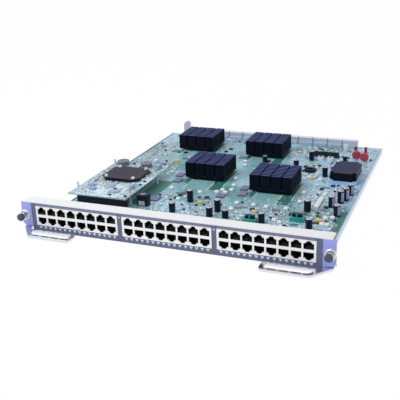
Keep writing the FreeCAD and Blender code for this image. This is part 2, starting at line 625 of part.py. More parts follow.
def processor():
    """The processor, its flat heat sink with cut corners and the push pins that hold it."""
    centre_x, centre_y = f"({DAUGHTER_X} + plate_x)", "(daughter_y + plate_y)"
    chip = block("processor_chip", (f"{centre_x} - processor_side/2", f"{centre_y} - processor_side/2",
                                    DAUGHTER_TOP), ("processor_side", "processor_side", "processor_high"))
    node(chip, "processor_chip")
    body = new_body("processor_sink")
    sk = sketch(body, "plate_outline", "XY", PLATE_BOTTOM)
    half_x, half_y, corner = "plate_wide/2", "plate_deep/2", "plate_chamfer"
    eight = ((-1, -1, f" - {corner}", ""), (1, -1, f" - {corner}", ""), (1, -1, "", f" - {corner}"),
             (1, 1, "", f" - {corner}"), (1, 1, f" - {corner}", ""), (-1, 1, f" - {corner}", ""),
             (-1, 1, "", f" - {corner}"), (-1, -1, "", f" - {corner}"))
    outline(sk, [(f"{centre_x} + {sx}*({half_x}{dx})", f"{centre_y} + {sy}*({half_y}{dy})")
                 for sx, sy, dx, dy in eight])
    pad(body, sk, "plate_thick")
    seat(body)
    group("push_pins", [prism(f"push_pin_{number}", (x, y, PLATE_TOP), "pin_head_radius", "pin_head_high",
                              CAN_SIDES) for number, (x, y) in enumerate(plate_pins(), 1)])


def daughter_parts():
    found = []
    for number, at in enumerate(on_daughter("round_coil"), 1):
        found.append(prism(f"round_coil_{number}", (at["x"], at["y"], DAUGHTER_TOP), "coil_radius",
                           "coil_high", COIL_SIDES))
    group("round_coils", found)
    packages("daughter_chips", "daughter_chip", DAUGHTER_TOP, DAUGHTER_X, "daughter_y")


# ---------------------------------------------------------------- parts of the main board

def power_converter():
    low = (BRICK_X, "brick_y", BOARD_TOP)
    node(block("converter_base", low, ("brick_wide", "brick_deep", "brick_base_high")), "converter_base")
    body = new_body("power_converter")
    sk = sketch(body, "brick_outline", "XY", f"{BOARD_TOP} + brick_base_high")
    points = []
    for sx, sy, order in ((-1, -1, 1), (1, -1, -1), (1, 1, 1), (-1, 1, -1)):
        out_x, out_y = f"{sx}*brick_wide/2", f"{sy}*brick_deep/2"
        in_x, in_y = f"{sx}*(brick_wide/2 - brick_notch)", f"{sy}*(brick_deep/2 - brick_notch)"
        points += [(out_x, in_y), (in_x, in_y), (in_x, out_y)][::order]
    outline(sk, [(f"{BRICK_X} + brick_wide/2 + {x}", f"brick_y + brick_deep/2 + {y}") for x, y in points])
    pad(body, sk, "brick_high")
    seat(body)


def backplane_connectors():
    """A row of connector blocks along the rear edge, each with a stepped foot towards the front."""
    body = new_body("backplane_connectors", many=True)
    sk = sketch(body, "segment_section", "YZ", CONNECTOR_X)
    rear = CARD_REAR
    middle, front = f"{rear} - segment_deep", f"{rear} - segment_deep - foot_deep"
    outline(sk, [(front, BOARD_TOP), (rear, BOARD_TOP), (rear, f"{BOARD_TOP} + segment_high"),
                 (middle, f"{BOARD_TOP} + segment_high"), (middle, f"{BOARD_TOP} + foot_high"),
                 (front, f"{BOARD_TOP} + foot_high")])
    first = pad(body, sk, "segment_pitch - segment_gap")
    row_of(body, first, "X", "segment_count", "segment_pitch")
    seat(body)


def guide_post():
    """The keyed post beside the connectors, with rounded shoulders."""
    body = new_body("guide_post")
    sk = sketch(body, "guide_section", "XZ", f"{CARD_REAR} - guide_side")
    right, left = f"({CONNECTOR_X} - guide_gap)", f"({CONNECTOR_X} - guide_gap - guide_side)"
    top, low = f"({BOARD_TOP} + guide_high)", BOARD_TOP
    outline(sk, [(left, low), (right, low), (right, f"{top} - guide_round"), (f"{right} - guide_round", top),
                 (f"{left} + guide_round", top), (left, f"{top} - guide_round")])
    pad(body, sk, "guide_side", back=True)
    seat(body)


def choke_block():
    """A moulded block with a round window in its top."""
    case = block("choke_case", (CHOKE_X, "choke_y", BOARD_TOP), ("choke_wide", "choke_deep", "choke_high"))
    window = (f"{CHOKE_X} + choke_wide/2", "choke_y + choke_deep/2",
              f"{BOARD_TOP} + choke_high - choke_bore_deep")
    well = prism("choke_well", window, "choke_bore", "2*choke_bore_deep", COIL_SIDES)
    node(cut("choke_block", case, well), "choke_block")


def regulator():
    """The upright regulator board, with its square coils and its toroid."""
    low = (REGULATOR_X, REGULATOR_Y, BOARD_TOP)
    node(block("regulator_board", low, ("regulator_wide", "regulator_thick", "regulator_high")),
         "regulator_board")
    found = []
    for number, at in enumerate(table_rows("square_coil"), 1):
        low = (f"{at['x']} - square_coil_side/2", f"{at['y']} - square_coil_side/2", BOARD_TOP)
        case = block(f"square_case_{number}", low,
                     ("square_coil_side", "square_coil_side", "square_coil_high"))
        well = prism(f"square_well_{number}", (at["x"], at["y"], f"{BOARD_TOP} + square_coil_high/2"),
                     "square_coil_bore", "square_coil_high", CAN_SIDES)
        found.append(cut(f"square_coil_{number}", case, well))
    for number, at in enumerate(table_rows("toroid"), 1):
        foot = (at["x"], at["y"], BOARD_TOP)
        ring = prism(f"toroid_ring_{number}", foot, "toroid_radius", "toroid_high", COIL_SIDES)
        bore = prism(f"toroid_bore_{number}", foot, "toroid_bore", "toroid_high", COIL_SIDES)
        found.append(cut(f"toroid_{number}", ring, bore))
    group("regulator_coils", found)


def surge_discs():
    """Coated discs on edge, each on a pair of leads that one flat foot stands for."""
    found = []
    for number, at in enumerate(table_rows("disc"), 1):
        rear = (at["x"], f"{at['y']} + disc_thick/2", f"{BOARD_TOP} + disc_lift + disc_radius")
        disc = prism(f"disc_{number}", rear, "disc_radius", "disc_thick", COIL_SIDES)
        disc.Placement.Rotation = FreeCAD.Rotation(Vector(1, 0, 0), 90)
        foot = block(f"lead_{number}", (f"{at['x']} - lead_wide/2", f"{at['y']} - lead_thick/2", BOARD_TOP),
                     ("lead_wide", "lead_thick", "disc_lift + disc_radius"))
        found.append(fused(f"surge_disc_{number}", [disc, foot]))
    group("surge_discs", found)


def filter_chokes():
    """Low blocks with a raised core."""
    found = []
    for number, at in enumerate(table_rows("filter"), 1):
        foot = block(f"filter_foot_{number}", (f"{at['x']} - filter_wide/2", f"{at['y']} - filter_deep/2",
                                               BOARD_TOP), ("filter_wide", "filter_deep", "filter_high"))
        low = (f"{at['x']} - core_wide/2", f"{at['y']} - core_deep/2", f"{BOARD_TOP} + filter_high")
        core = block(f"filter_core_{number}", low, ("core_wide", "core_deep", "core_high"))
        found.append(fused(f"filter_choke_{number}", [foot, core]))
    group("filter_chokes", found)


# ---------------------------------------------------------------- ejector levers

def lever(side_name, side):
    """A rounded loop along the panel's foot, with a neck, a pivot eye and a claw behind the panel."""
    body = new_body(f"lever_{side_name}")
    sk = sketch(body, f"loop_{side_name}", "XY", "lever_rise")
    corner_x, throat_x = f"({FIELD} - lever_corner_in)", f"({FIELD} - lever_throat_in)"
    end_x = f"({FIELD} - lever_corner_in - lever_long)"
    neck_in, neck_out = f"({PIVOT_X} - lever_neck_in)", f"({PIVOT_X} + lever_neck_out)"
    points = [
        (end_x, "-lever_back"), (end_x, "-lever_reach"), (corner_x, "-lever_reach"),
        (neck_out, "-lever_rise"), (neck_out, "pivot_y"), (f"{PIVOT_X} + claw_reach", "pivot_y + claw_drop"),
        (f"{PIVOT_X} + claw_heel_out", "pivot_y + claw_heel_back"), (PIVOT_X, "pivot_y + lever_neck_out"),
        (neck_in, "pivot_y"), (neck_in, "-lever_rise"), (f"{neck_in} - lever_fall", "-lever_back")]
    outline(sk, [(f"{side}*({x})", y) for x, y in points])
    pad(body, sk, "lever_thick")
    slot = sketch(body, f"slot_{side_name}", "XY", "lever_rise")
    back, front = "(-lever_back - lever_arm)", "(-lever_reach + lever_front_arm)"
    left, low_right = f"({end_x} + lever_end_arm)", f"({corner_x} - lever_front_arm/2)"
    inner = [(left, back), (left, front), (low_right, front), (throat_x, back)]
    outline(slot, [(f"{side}*({x})", y) for x, y in inner])
    pocket(body, slot, "lever_thick", back=True)
    eye = sketch(body, f"eye_{side_name}", "XY", "lever_rise")
    circle(eye, f"{side}*{PIVOT_X}", "pivot_y", "pivot_radius + pivot_clearance")
    loop = pocket(body, eye, "lever_thick", back=True)
    for kind, corners, size in (("Fillet", points[:2], "lever_round"),
                                ("Fillet", points[2:3], "lever_corner_round"),
                                ("Chamfer", inner, "slot_bevel")):
        loop = eased(body, loop, kind, [(f"{side}*({x})", y) for x, y in corners], size)
    seat(body)


def lever_brackets():
    """The blocks behind the panel's ends, each with the headed pin that its lever turns on."""
    body = new_body("lever_brackets", many=True)
    low, high = f"({PIVOT_X} - bracket_wide/2)", f"({PIVOT_X} + bracket_wide/2)"
    head_low = "lever_rise - pivot_head_gap - pivot_head_high"
    sk = sketch(body, "bracket_outline", "XY", BRACKET_BOTTOM)
    shank = sketch(body, "pin_shank", "XY", "lever_rise - pivot_head_gap")
    head = sketch(body, "pin_head", "XY", head_low)
    for side in (-1, 1):
        outline(sk, [(f"{side}*{x}", y) for x, y in (
            (low, "panel_thick"), (high, "panel_thick"), (high, "panel_thick + bracket_deep - end_chamfer"),
            (f"({high} - end_chamfer)", "panel_thick + bracket_deep"), (low, "panel_thick + bracket_deep"))])
        circle(shank, f"{side}*{PIVOT_X}", "pivot_y", "pivot_radius")
        polygon(head, f"{side}*{PIVOT_X}", "pivot_y", "pivot_head_radius", CAN_SIDES)
    pad(body, sk, "bracket_high")
    pad(body, shank, "pivot_head_gap + lever_thick + bracket_gap")
    pad(body, head, "pivot_head_high")
    seat(body)


# ---------------------------------------------------------------- captive thumbscrews

def collars():
    """The cups on the panel's face that the springs sit in, each bored for its screw."""
    body = new_body("screw_collars", many=True)
    for name, bore, start, length in (
            ("collar_cup", "spring_pocket", "-collar_high", "collar_high - collar_floor"),
            ("collar_floor", "shaft_radius + shaft_clearance", "-collar_floor", "collar_floor")):
        sk = sketch(body, name + "_ring", "XZ", start)
        for side in ("-", ""):
            polygon(sk, f"{side}{THUMB_X}", "thumb_z", "collar_radius", KNOB_SIDES)
            polygon(sk, f"{side}{THUMB_X}", "thumb_z", bore, KNOB_SIDES)
        pad(body, sk, length, back=True)
    seat(body)


def ring(label, front, bore, radius, long):
    """A flat-sided ring on the screw's axis."""
    body = new_body(label)
    sk = sketch(body, label + "_ring", "XZ", front)
    for reach in (bore, radius):
        polygon(sk, "0", "0", reach, COIL_SIDES)
    pad(body, sk, long, back=True)
    return body


def knob(label):
    """A cap with a bevelled front, bored from behind for the screw."""
    body = new_body(label)
    sk = sketch(body, label + "_outline", "XZ", KNOB_FRONT)
    polygon(sk, "0", "0", "knob_radius", KNOB_SIDES)
    pad(body, sk, "knob_high", back=True)
    bore = sketch(body, label + "_bore", "XZ", f"{KNOB_FRONT} + knob_roof")
    circle(bore, "0", "0", "shaft_radius")
    cap = pocket(body, bore, "knob_high - knob_roof")
    doc.recompute()
    front = min(range(len(cap.Shape.Faces)), key=lambda n: cap.Shape.Faces[n].CenterOfMass.y)
    bevel = body.newObject("PartDesign::Chamfer", label + "_bevel")
    bevel.Base = (cap, [f"Face{front + 1}"])
    bevel.setExpression("Size", bound("knob_edge"))
    return body


def thumbscrew(side_name, side):
    """A knob on its screw, held out from the collar by a spring and a washer."""
    pieces = [
        ring(f"spring_{side_name}", WASHER_BACK, "spring_radius - spring_wall", "spring_radius",
             f"-collar_floor - spring_gap - {WASHER_BACK}"),
        ring(f"washer_{side_name}", WASHER_FRONT, "shaft_radius + washer_bore_gap", "washer_radius",
             "washer_thick"),
        turned(f"thumbscrew_{side_name}", [
            ("0", f"{KNOB_FRONT} + knob_roof"), ("shaft_radius", f"{KNOB_FRONT} + knob_roof"),
            ("shaft_radius", "panel_thick + tip_gap"), ("tip_radius", "panel_thick + tip_gap"),
            ("tip_radius", "shaft_out"), ("0", "shaft_out")]),
        knob(f"knob_{side_name}")]
    for piece in pieces:
        seat(piece, f"{side}*{THUMB_X}", "0", "thumb_z")


# ---------------------------------------------------------------- the card

def build():
    fill_sheet()
    front_panel()
    panel_overlay()
    top_gasket()
    for number in (1, 2, 3):
        bank_x = f"({number} - 2)*{BANK_PITCH}"
        jack_shield(number, bank_x)
        jack_body(number, bank_x)
        jack_webs(number, bank_x)
    base_tray()
    main_board()
    board_posts()
    switch_chips()
    for number, at in enumerate(table_rows("sink"), 1):
        heat_sink(number, at)
    daughter_board()
    daughter_posts()
    mezzanine_connector()
    processor()
    daughter_parts()
    power_converter()
    cans("electrolytic_cans", "can")
    packages("logic_chips", "chip", BOARD_TOP)
    packages("bead_capacitors", "bead", BOARD_TOP)
    packages("white_headers", "header", BOARD_TOP)
    cans("fuse_posts", "fuse")
    filter_chokes()
    choke_block()
    regulator()
    surge_discs()
    backplane_connectors()
    guide_post()
    lever_brackets()
    collars()
    for side_name, side in (("left", -1), ("right", 1)):
        lever(side_name, side)
        thumbscrew(side_name, side)
    doc.recompute()


def export():
    """Stops on anything that failed, then writes one file for each sub-part."""
    for obj in doc.Objects:
        if "Invalid" in obj.State or "Error" in obj.State:
            raise RuntimeError(f"{obj.Name} failed: {obj.State}")
    for piece in NODES:
        if piece.Shape.isNull() or not piece.Shape.isValid() or not piece.Shape.Solids:
            raise RuntimeError(f"{piece.Label} has no valid solid")
    os.makedirs("parts", exist_ok=True)
    for piece in NODES:
        piece.Shape.exportStep(f"parts/{piece.Label}.step")


build()
export()
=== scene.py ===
"""Looks of the switch line card: its paint, board, heat sinks, small parts, levers and thumbscrews.

Metres, in the part's own frame: X runs along the front panel, Y from the panel to the backplane connectors
and Z up. Every new piece keeps its place in its mesh and rides on one of the part's bodies.
"""
import math

import bpy
import numpy as np
from mathutils import Matrix, Vector


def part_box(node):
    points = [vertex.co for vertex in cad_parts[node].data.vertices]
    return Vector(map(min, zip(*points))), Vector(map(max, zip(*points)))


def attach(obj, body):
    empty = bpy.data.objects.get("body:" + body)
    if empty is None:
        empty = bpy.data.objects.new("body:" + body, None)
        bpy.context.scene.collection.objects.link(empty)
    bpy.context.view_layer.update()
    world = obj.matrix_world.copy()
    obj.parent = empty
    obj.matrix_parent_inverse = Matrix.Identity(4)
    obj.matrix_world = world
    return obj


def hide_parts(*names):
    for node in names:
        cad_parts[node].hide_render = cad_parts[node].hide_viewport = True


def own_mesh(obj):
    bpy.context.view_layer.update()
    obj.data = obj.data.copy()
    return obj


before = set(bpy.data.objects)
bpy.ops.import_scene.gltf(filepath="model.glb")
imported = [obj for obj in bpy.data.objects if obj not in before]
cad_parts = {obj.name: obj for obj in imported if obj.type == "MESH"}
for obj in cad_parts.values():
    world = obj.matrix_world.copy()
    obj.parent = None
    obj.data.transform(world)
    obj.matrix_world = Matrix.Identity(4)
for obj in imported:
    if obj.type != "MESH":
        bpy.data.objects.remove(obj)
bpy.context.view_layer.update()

bl_info = {
    "name": "Switch Line Card",
    "version": (1, 0, 0),
    "blender": (4, 5, 0),
    "location": "3D View > Sidebar > Line Card",
    "description": "Dresses the packed line card: finishes, small parts, floor, lamps and camera",
    "category": "Add Mesh",
}

MM = 0.001
FACE_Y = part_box("front_panel")[0][1]
FILM_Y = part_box("panel_overlay")[0][1]
BOARD_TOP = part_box("main_board")[1][2]
DAUGHTER_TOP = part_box("daughter_board")[1][2]
QUARTER = math.pi / 2
BANKS, SINKS = (1, 2, 3), (1, 2, 3, 4)


# ------------------------------------------------------------------ sizes and colours that a user would set

def colour(name, description, default):
    return bpy.props.FloatVectorProperty(name=name, description=description, default=default, size=3,
                                         min=0.0, max=1.0, subtype="COLOR")


def measure(name, description, default, least=0.0, **more):
    return bpy.props.FloatProperty(name=name, description=description, default=default, min=least, **more)


def length(name, description, default, least=0.0):
    return measure(name, description, default, least, subtype="DISTANCE", unit="LENGTH", precision=5)


def share(name, description, default):
    return measure(name, description, default, max=1.0, subtype="FACTOR")


def bearing(name, description, degrees):
    return bpy.props.FloatProperty(name=name, description=description, default=math.radians(degrees),
                                   subtype="ANGLE")


def mm(*numbers):
    """Sizes or points given in millimetres, as an array in metres."""
    return np.array(numbers, float) * MM


def centred(count, pitch):
    """Evenly spaced steps about zero."""
    return (np.arange(count) - (count - 1) / 2) * pitch


class CardPanelLook(bpy.types.PropertyGroup):
    end_paint: colour("End paint", "Powder coat on the panel's ends", (0.37, 0.42, 0.90))
    field_film: colour("Field film", "Printed film between the panel's ends", (0.125, 0.145, 0.24))
    mark_print: colour("Marks", "Light windows under the sockets", (0.74, 0.79, 0.98))
    tin: colour("Tin", "Tinned sheet round the sockets", (0.97, 0.98, 1.0))
    port_pitch: length("Socket pitch", "Distance between neighbouring sockets", 13.97 * MM, 0.001)
    mouth_wide: length("Mouth width", "Width of a socket's mouth", 11.9 * MM, 0.001)
    mouth_high: length("Mouth height", "Height of a socket's mouth up to its shoulders", 7.0 * MM, 0.001)
    step_wide: length("Step width", "Width of the first step of the latch notch", 7.4 * MM, 0.001)
    step_high: length("Step height", "Height of the first step of the latch notch", 1.5 * MM)
    latch_wide: length("Latch width", "Width of the latch notch's end", 4.6 * MM, 0.001)
    latch_high: length("Latch height", "Height of the latch notch's end", 1.4 * MM)
    bar_high: length("Middle bar", "Height of the bar between the two rows", 3.7 * MM)
    mark_pitch: length("Mark pitch", "Distance between light windows", 6.98 * MM, 0.001)
    mark_wide: length("Mark width", "Width of a light window", 4.6 * MM)


class CardBoardLook(bpy.types.PropertyGroup):
    mask: colour("Solder mask", "Lacquer over bare laminate", (0.030, 0.150, 0.145))
    pour: colour("Copper areas", "Lacquer over copper", (0.305, 0.59, 0.79))
    track: colour("Tracks", "Lacquer over a track", (0.60, 0.85, 1.0))
    silk: colour("Silkscreen", "Printed outlines", (0.86, 0.93, 0.95))
    anodise: colour("Anodising", "Dye in the heat sinks", (0.002, 0.004, 0.012))
    print_wide: length("Print width", "Width of a printed line", 0.6 * MM)
    field_reach: length("Field reach", "How far a heat sink's areas reach towards the panel", 38.0 * MM)
    seed: bpy.props.IntProperty(name="Seed", description="Scatter of the small parts", default=7, min=0)
    crowding: share("Crowding", "Share of the free spots that get a small part", 0.62)


class CardPartsLook(bpy.types.PropertyGroup):
    sleeve: colour("Can sleeve", "Shrink sleeve on the tall capacitors", (0.003, 0.005, 0.022))
    can_tin: colour("Can top", "Aluminium of the capacitor tops", (0.78, 0.78, 0.86))
    moulding: colour("Moulding", "Black moulded packages", (0.006, 0.008, 0.020))
    disc: colour("Disc coating", "Epoxy on the surge discs", (0.42, 0.035, 0.085))
    knob: colour("Knob", "Moulded thumbscrew knobs", (0.060, 0.066, 0.125))
    knurls: bpy.props.IntProperty(name="Knurls", description="Ridges round a knob", default=36, min=6)
    spring_turns: measure("Spring turns", "Turns of a screw's spring", 3.5, 1.0)
    wire: length("Spring wire", "Diameter of the spring's wire", 0.7 * MM)


class CardStageLook(bpy.types.PropertyGroup):
    eye: bpy.props.FloatVectorProperty(name="Camera place", description="Where the camera stands", size=3,
                                       default=(0.32406, -0.88532, 0.35026), subtype="TRANSLATION")
    turn: bearing("Turn", "Camera's turn to the left of +Y", 22.36)
    tilt: bearing("Tilt", "Camera's tilt above the level", -21.16)
    roll: bearing("Roll", "Camera's roll", -2.10)
    lens: measure("Lens", "Focal length", 63.15, 1.0, subtype="DISTANCE_CAMERA")
    sky: measure("Sky", "Strength of the even light all round", 0.62)
    key: measure("Key lamp", "Power of the soft lamp over the card", 13.0, subtype="POWER", unit="POWER")
    floor: colour("Floor", "Plain pale floor", (0.92, 0.92, 0.93))
    glow: share("Background", "Share of plain white in what the camera sees of the floor", 0.98)


GROUPS = {"card_panel": CardPanelLook, "card_board": CardBoardLook, "card_parts": CardPartsLook,
          "card_stage": CardStageLook}


# ------------------------------------------------------------------ surfaces as arrays

class Form:
    """A surface as whole arrays: its corners, the corner numbers of all faces in one row, how many corners
    each face has, and which of the piece's finishes each face takes."""

    def __init__(self, corners, flat, counts, tones=None):
        self.corners = np.asarray(corners, float).reshape(-1, 3)
        self.flat = np.asarray(flat, np.int32)
        self.counts = np.asarray(counts, np.int32)
        self.tones = np.zeros(len(self.counts), np.int32) if tones is None else np.asarray(tones, np.int32)

    def __add__(self, other):
        return Form(np.vstack([self.corners, other.corners]),
                    np.concatenate([self.flat, other.flat + len(self.corners)]),
                    np.concatenate([self.counts, other.counts]), np.concatenate([self.tones, other.tones]))

    def toned(self, tone):
        return Form(self.corners, self.flat, self.counts, np.full(len(self.counts), tone))

    def moved(self, x=0.0, y=0.0, z=0.0):
        return Form(self.corners + (x, y, z), self.flat, self.counts, self.tones)

    def along_y(self):
        """The same form with its Z axis laid along Y: (x, y, z) goes to (x, z, -y)."""
        x, y, z = self.corners.T
        return Form(np.stack([x, z, -y], axis=1), self.flat, self.counts, self.tones)

    def repeated(self, places, sizes=None, turns=None):
        """One copy for each place: stretched by its size, or all by one size, turned about Z by its turn,
        then moved."""
        places = np.asarray(places, float).reshape(-1, 3)
        copies = np.repeat(self.corners[None], len(places), axis=0)
        if sizes is not None:
            copies = copies * np.asarray(sizes, float).reshape(-1, 1, 3)
        if turns is not None:
            cosine, sine = np.cos(turns)[:, None], np.sin(turns)[:, None]
            x, y = copies[..., 0], copies[..., 1]
            copies = np.stack([x * cosine - y * sine, x * sine + y * cosine, copies[..., 2]], axis=-1)
        copies = copies + places[:, None, :]
        steps = np.arange(len(places))[:, None] * len(self.corners)
        return Form(copies, (self.flat[None] + steps).ravel(), np.tile(self.counts, len(places)),
                    np.tile(self.tones, len(places)))


def joined(forms):
    """Several forms as one."""
    total = forms[0]
    for form in forms[1:]:
        total = total + form
    return total


def skin(rings, capped=True, closed=False):
    """A surface of two parameters: rings[i, j] is the point at step i of the profile and step j round it.
    Neighbouring rings are joined by four-sided faces; the two ends are capped, or joined when closed."""
    rings = np.asarray(rings, float)
    levels, around = rings.shape[:2]
    number = np.arange(levels * around).reshape(levels, around)
    if closed:
        number = np.vstack([number, number[:1]])
    beside = np.roll(number, -1, axis=1)
    quads = np.stack([number[:-1], beside[:-1], beside[1:], number[1:]], axis=-1).reshape(-1, 4)
    flat, counts = quads.ravel(), np.full(len(quads), 4)
    if capped and not closed:
        flat = np.concatenate([flat, number[0, ::-1], number[-1]])
        counts = np.concatenate([counts, [around, around]])
    return Form(rings, flat, counts)


def at_height(spots, rise):
    """Points (x, y) given a height."""
    spots = np.asarray(spots, float)[:, :2]
    return np.column_stack([spots, np.full(len(spots), rise)])


def rounded_outline(half_x, half_y, corner, steps=1):
    """A rectangle with round corners: each point is a corner's centre plus the corner's radius turned
    through its share of the quarter turn."""
    turn = (np.arange(4)[:, None] + np.linspace(0.0, 1.0, steps + 1)[None]).ravel() * QUARTER
    side_x = np.repeat([1, -1, -1, 1], steps + 1)
    side_y = np.repeat([1, 1, -1, -1], steps + 1)
    return np.stack([side_x * (half_x - corner) + corner * np.cos(turn),
                     side_y * (half_y - corner) + corner * np.sin(turn)], axis=1)


def slab(wide, deep, high, corner=0.0, bevel=0.0, steps=1):
    """A block centred on Z that stands on zero: one rounded outline carried up a profile that is drawn in
    by the bevel at its foot and at its top. Its corners are always round by at least a hair."""
    hair = 1e-6
    corner = max(corner, bevel * 1.01, hair)
    levels = [(0, 0), (0, high)]
    if bevel:
        levels = [(bevel, 0.0), (0.0, bevel), (0.0, high - bevel), (bevel, high)]
    rings = []
    for inset, rise in levels:
        ring = rounded_outline(wide / 2 - inset, deep / 2 - inset, corner - inset, steps)
        rings.append(at_height(ring, rise))
    return skin(rings)


def brick(low, high, corner=0.0, bevel=0.0, steps=1):
    """A slab between two corners."""
    low, high = np.asarray(low, float), np.asarray(high, float)
    x, y, _ = (low + high) / 2
    return slab(*(high - low), corner, bevel, steps).moved(x, y, low[2])


def turned(profile, sides=32, flutes=0, flute_deep=0.0, closed=False):
    """A profile of (radius, height) turned about Z. With flutes, the radius of its wide part swells and
    shrinks as the cosine of flutes times the angle, by flute_deep."""
    profile = np.asarray(profile, float)
    angle = np.arange(sides) * 2 * math.pi / sides
    fluted = profile[:, :1] > 0.8 * profile[:, 0].max()
    radius = profile[:, :1] + fluted * flute_deep * np.cos(angle * flutes)
    rings = np.stack([radius * np.cos(angle), radius * np.sin(angle),
                      np.repeat(profile[:, 1:], sides, axis=1)], axis=-1)
    return skin(rings, closed=closed)


def hoop(profile, sides=32):
    """A closed profile of (radius, height) turned about Z, which leaves a hole in the middle."""
    return turned(profile, sides, closed=True)


def wire(path, thick, sides=8):
    """A round wire along a path: at each point a circle stands square to the path's direction, on two
    axes made from that direction and the upright, or from X where the path itself is upright."""
    path = np.asarray(path, float)
    along = np.gradient(path, axis=0)
    along /= np.linalg.norm(along, axis=1, keepdims=True)
    steep = np.abs(along[:, 2:]) > 0.9
    first = np.cross(np.where(steep, [[1.0, 0.0, 0.0]], [[0.0, 0.0, 1.0]]), along)
    first /= np.linalg.norm(first, axis=1, keepdims=True)
    second = np.cross(along, first)
    angle = np.arange(sides) * 2 * math.pi / sides
    rings = path[:, None] + thick / 2 * (first[:, None] * np.cos(angle)[:, None]
                                         + second[:, None] * np.sin(angle)[:, None])
    return skin(rings)


def ribbon(path, wide, rise, thick):
    """A flat printed line along two points (x, y): each is moved half the width to either side, square to
    the line."""
    path = np.asarray(path, float)
    run = path[1] - path[0]
    side = np.array([-run[1], run[0]]) / np.linalg.norm(run) * wide / 2
    rings = [at_height(path + sign * side, rise + lift)
             for sign, lift in ((1, 0), (-1, 0), (-1, thick), (1, thick))]
    return skin(np.stack(rings, axis=1))


def box_of(node):
    """Lowest and highest corner of a CAD node, as arrays."""
    low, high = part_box(node)
    return np.array(low), np.array(high)


def solids_of(node):
    """Middle and size of each separate solid in a CAD node. Every corner takes the smallest label in its
    triangles until none changes, so that each solid ends with one label."""
    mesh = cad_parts[node].data
    places = np.empty(len(mesh.vertices) * 3)
    mesh.vertices.foreach_get("co", places)
    places = places.reshape(-1, 3)
    same_place_digits = 6
    shared = np.unique(np.round(places, same_place_digits), axis=0, return_inverse=True)[1].ravel()
    corners = np.empty(len(mesh.loops), np.int32)
    mesh.loops.foreach_get("vertex_index", corners)
    triangles = shared[corners].reshape(-1, 3)
    labels = np.arange(shared.max() + 1)
    settled = False
    while not settled:
        least = labels[triangles].min(axis=1)
        lower = labels.copy()
        np.minimum.at(lower, triangles, np.repeat(least[:, None], 3, axis=1))
        settled = bool((lower == labels).all())
        labels = lower
    owner = labels[shared]
    solids = [places[owner == one] for one in np.unique(owner)]
    lows, highs = (np.array([ends(solid, axis=0) for solid in solids]) for ends in (np.min, np.max))
    return (lows + highs) / 2, highs - lows


def feet_of(node):
    """Middle of the underside, and size, of each separate solid in a CAD node."""
    middles, sizes = solids_of(node)
    return middles - sizes * (0, 0, 0.5), sizes


def placed(name, data):
    """A new object in the scene that holds the data."""
    obj = bpy.data.objects.new(name, data)
    bpy.context.scene.collection.objects.link(obj)
    return obj


def piece(name, form, finishes, body="card", replaces=()):
    """Puts a form into the scene as one piece that rides on a body."""
    smooth_below = math.radians(35)
    mesh = bpy.data.meshes.new(name)
    mesh.vertices.add(len(form.corners))
    mesh.vertices.foreach_set("co", form.corners.astype(np.float32).ravel())
    mesh.loops.add(len(form.flat))
    mesh.loops.foreach_set("vertex_index", form.flat)
    mesh.polygons.add(len(form.counts))
    starts = np.concatenate([[0], np.cumsum(form.counts)[:-1]]).astype(np.int32)
    mesh.polygons.foreach_set("loop_start", starts)
    mesh.polygons.foreach_set("material_index", form.tones)
    mesh.update(calc_edges=True)
    mesh.validate()
    mesh.polygons.foreach_set("use_smooth", np.ones(len(mesh.polygons), bool))
    mesh.set_sharp_from_angle(angle=smooth_below)
    for finish in finishes:
        mesh.materials.append(finish)
    obj = placed(name, mesh)
    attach(obj, body)
    if replaces:
        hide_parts(*replaces)
    return obj


def dress(finish, *nodes, ease=0.0):
    """Gives CAD nodes a finish; ease rounds their edges by that much."""
    weld_reach, sharp_from = 1e-6, math.radians(40)
    for name in nodes:
        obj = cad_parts[name]
        for place in obj.material_slots:
            place.link = "OBJECT"
            place.material = finish
        if ease:
            weld = obj.modifiers.new("Weld", "WELD")
            weld.merge_threshold = weld_reach
            bevel = obj.modifiers.new("Eased edges", "BEVEL")
            bevel.width = ease
            bevel.segments = 2
            bevel.limit_method = "ANGLE"
            bevel.angle_limit = sharp_from


# ------------------------------------------------------------------ shader node groups

def new_group(name, numbers, results):
    """A shader node group over a place (its Vector), with more numbers and their defaults. Gives back its
    wiring, what enters it and the node that its results leave by. The result "Normal" is a vector, the others
    are plain values."""
    group = bpy.data.node_groups.new(name, "ShaderNodeTree")
    group.interface.new_socket(name="Vector", in_out="INPUT", socket_type="NodeSocketVector")
    for label, start in numbers.items():
        socket = group.interface.new_socket(name=label, in_out="INPUT", socket_type="NodeSocketFloat")
        socket.default_value = start
    for label in results:
        kind = "NodeSocketVector" if label == "Normal" else "NodeSocketFloat"
        group.interface.new_socket(name=label, in_out="OUTPUT", socket_type=kind)
    wiring = Wiring(group)
    return wiring, wiring.add("NodeGroupInput").outputs, wiring.add("NodeGroupOutput")


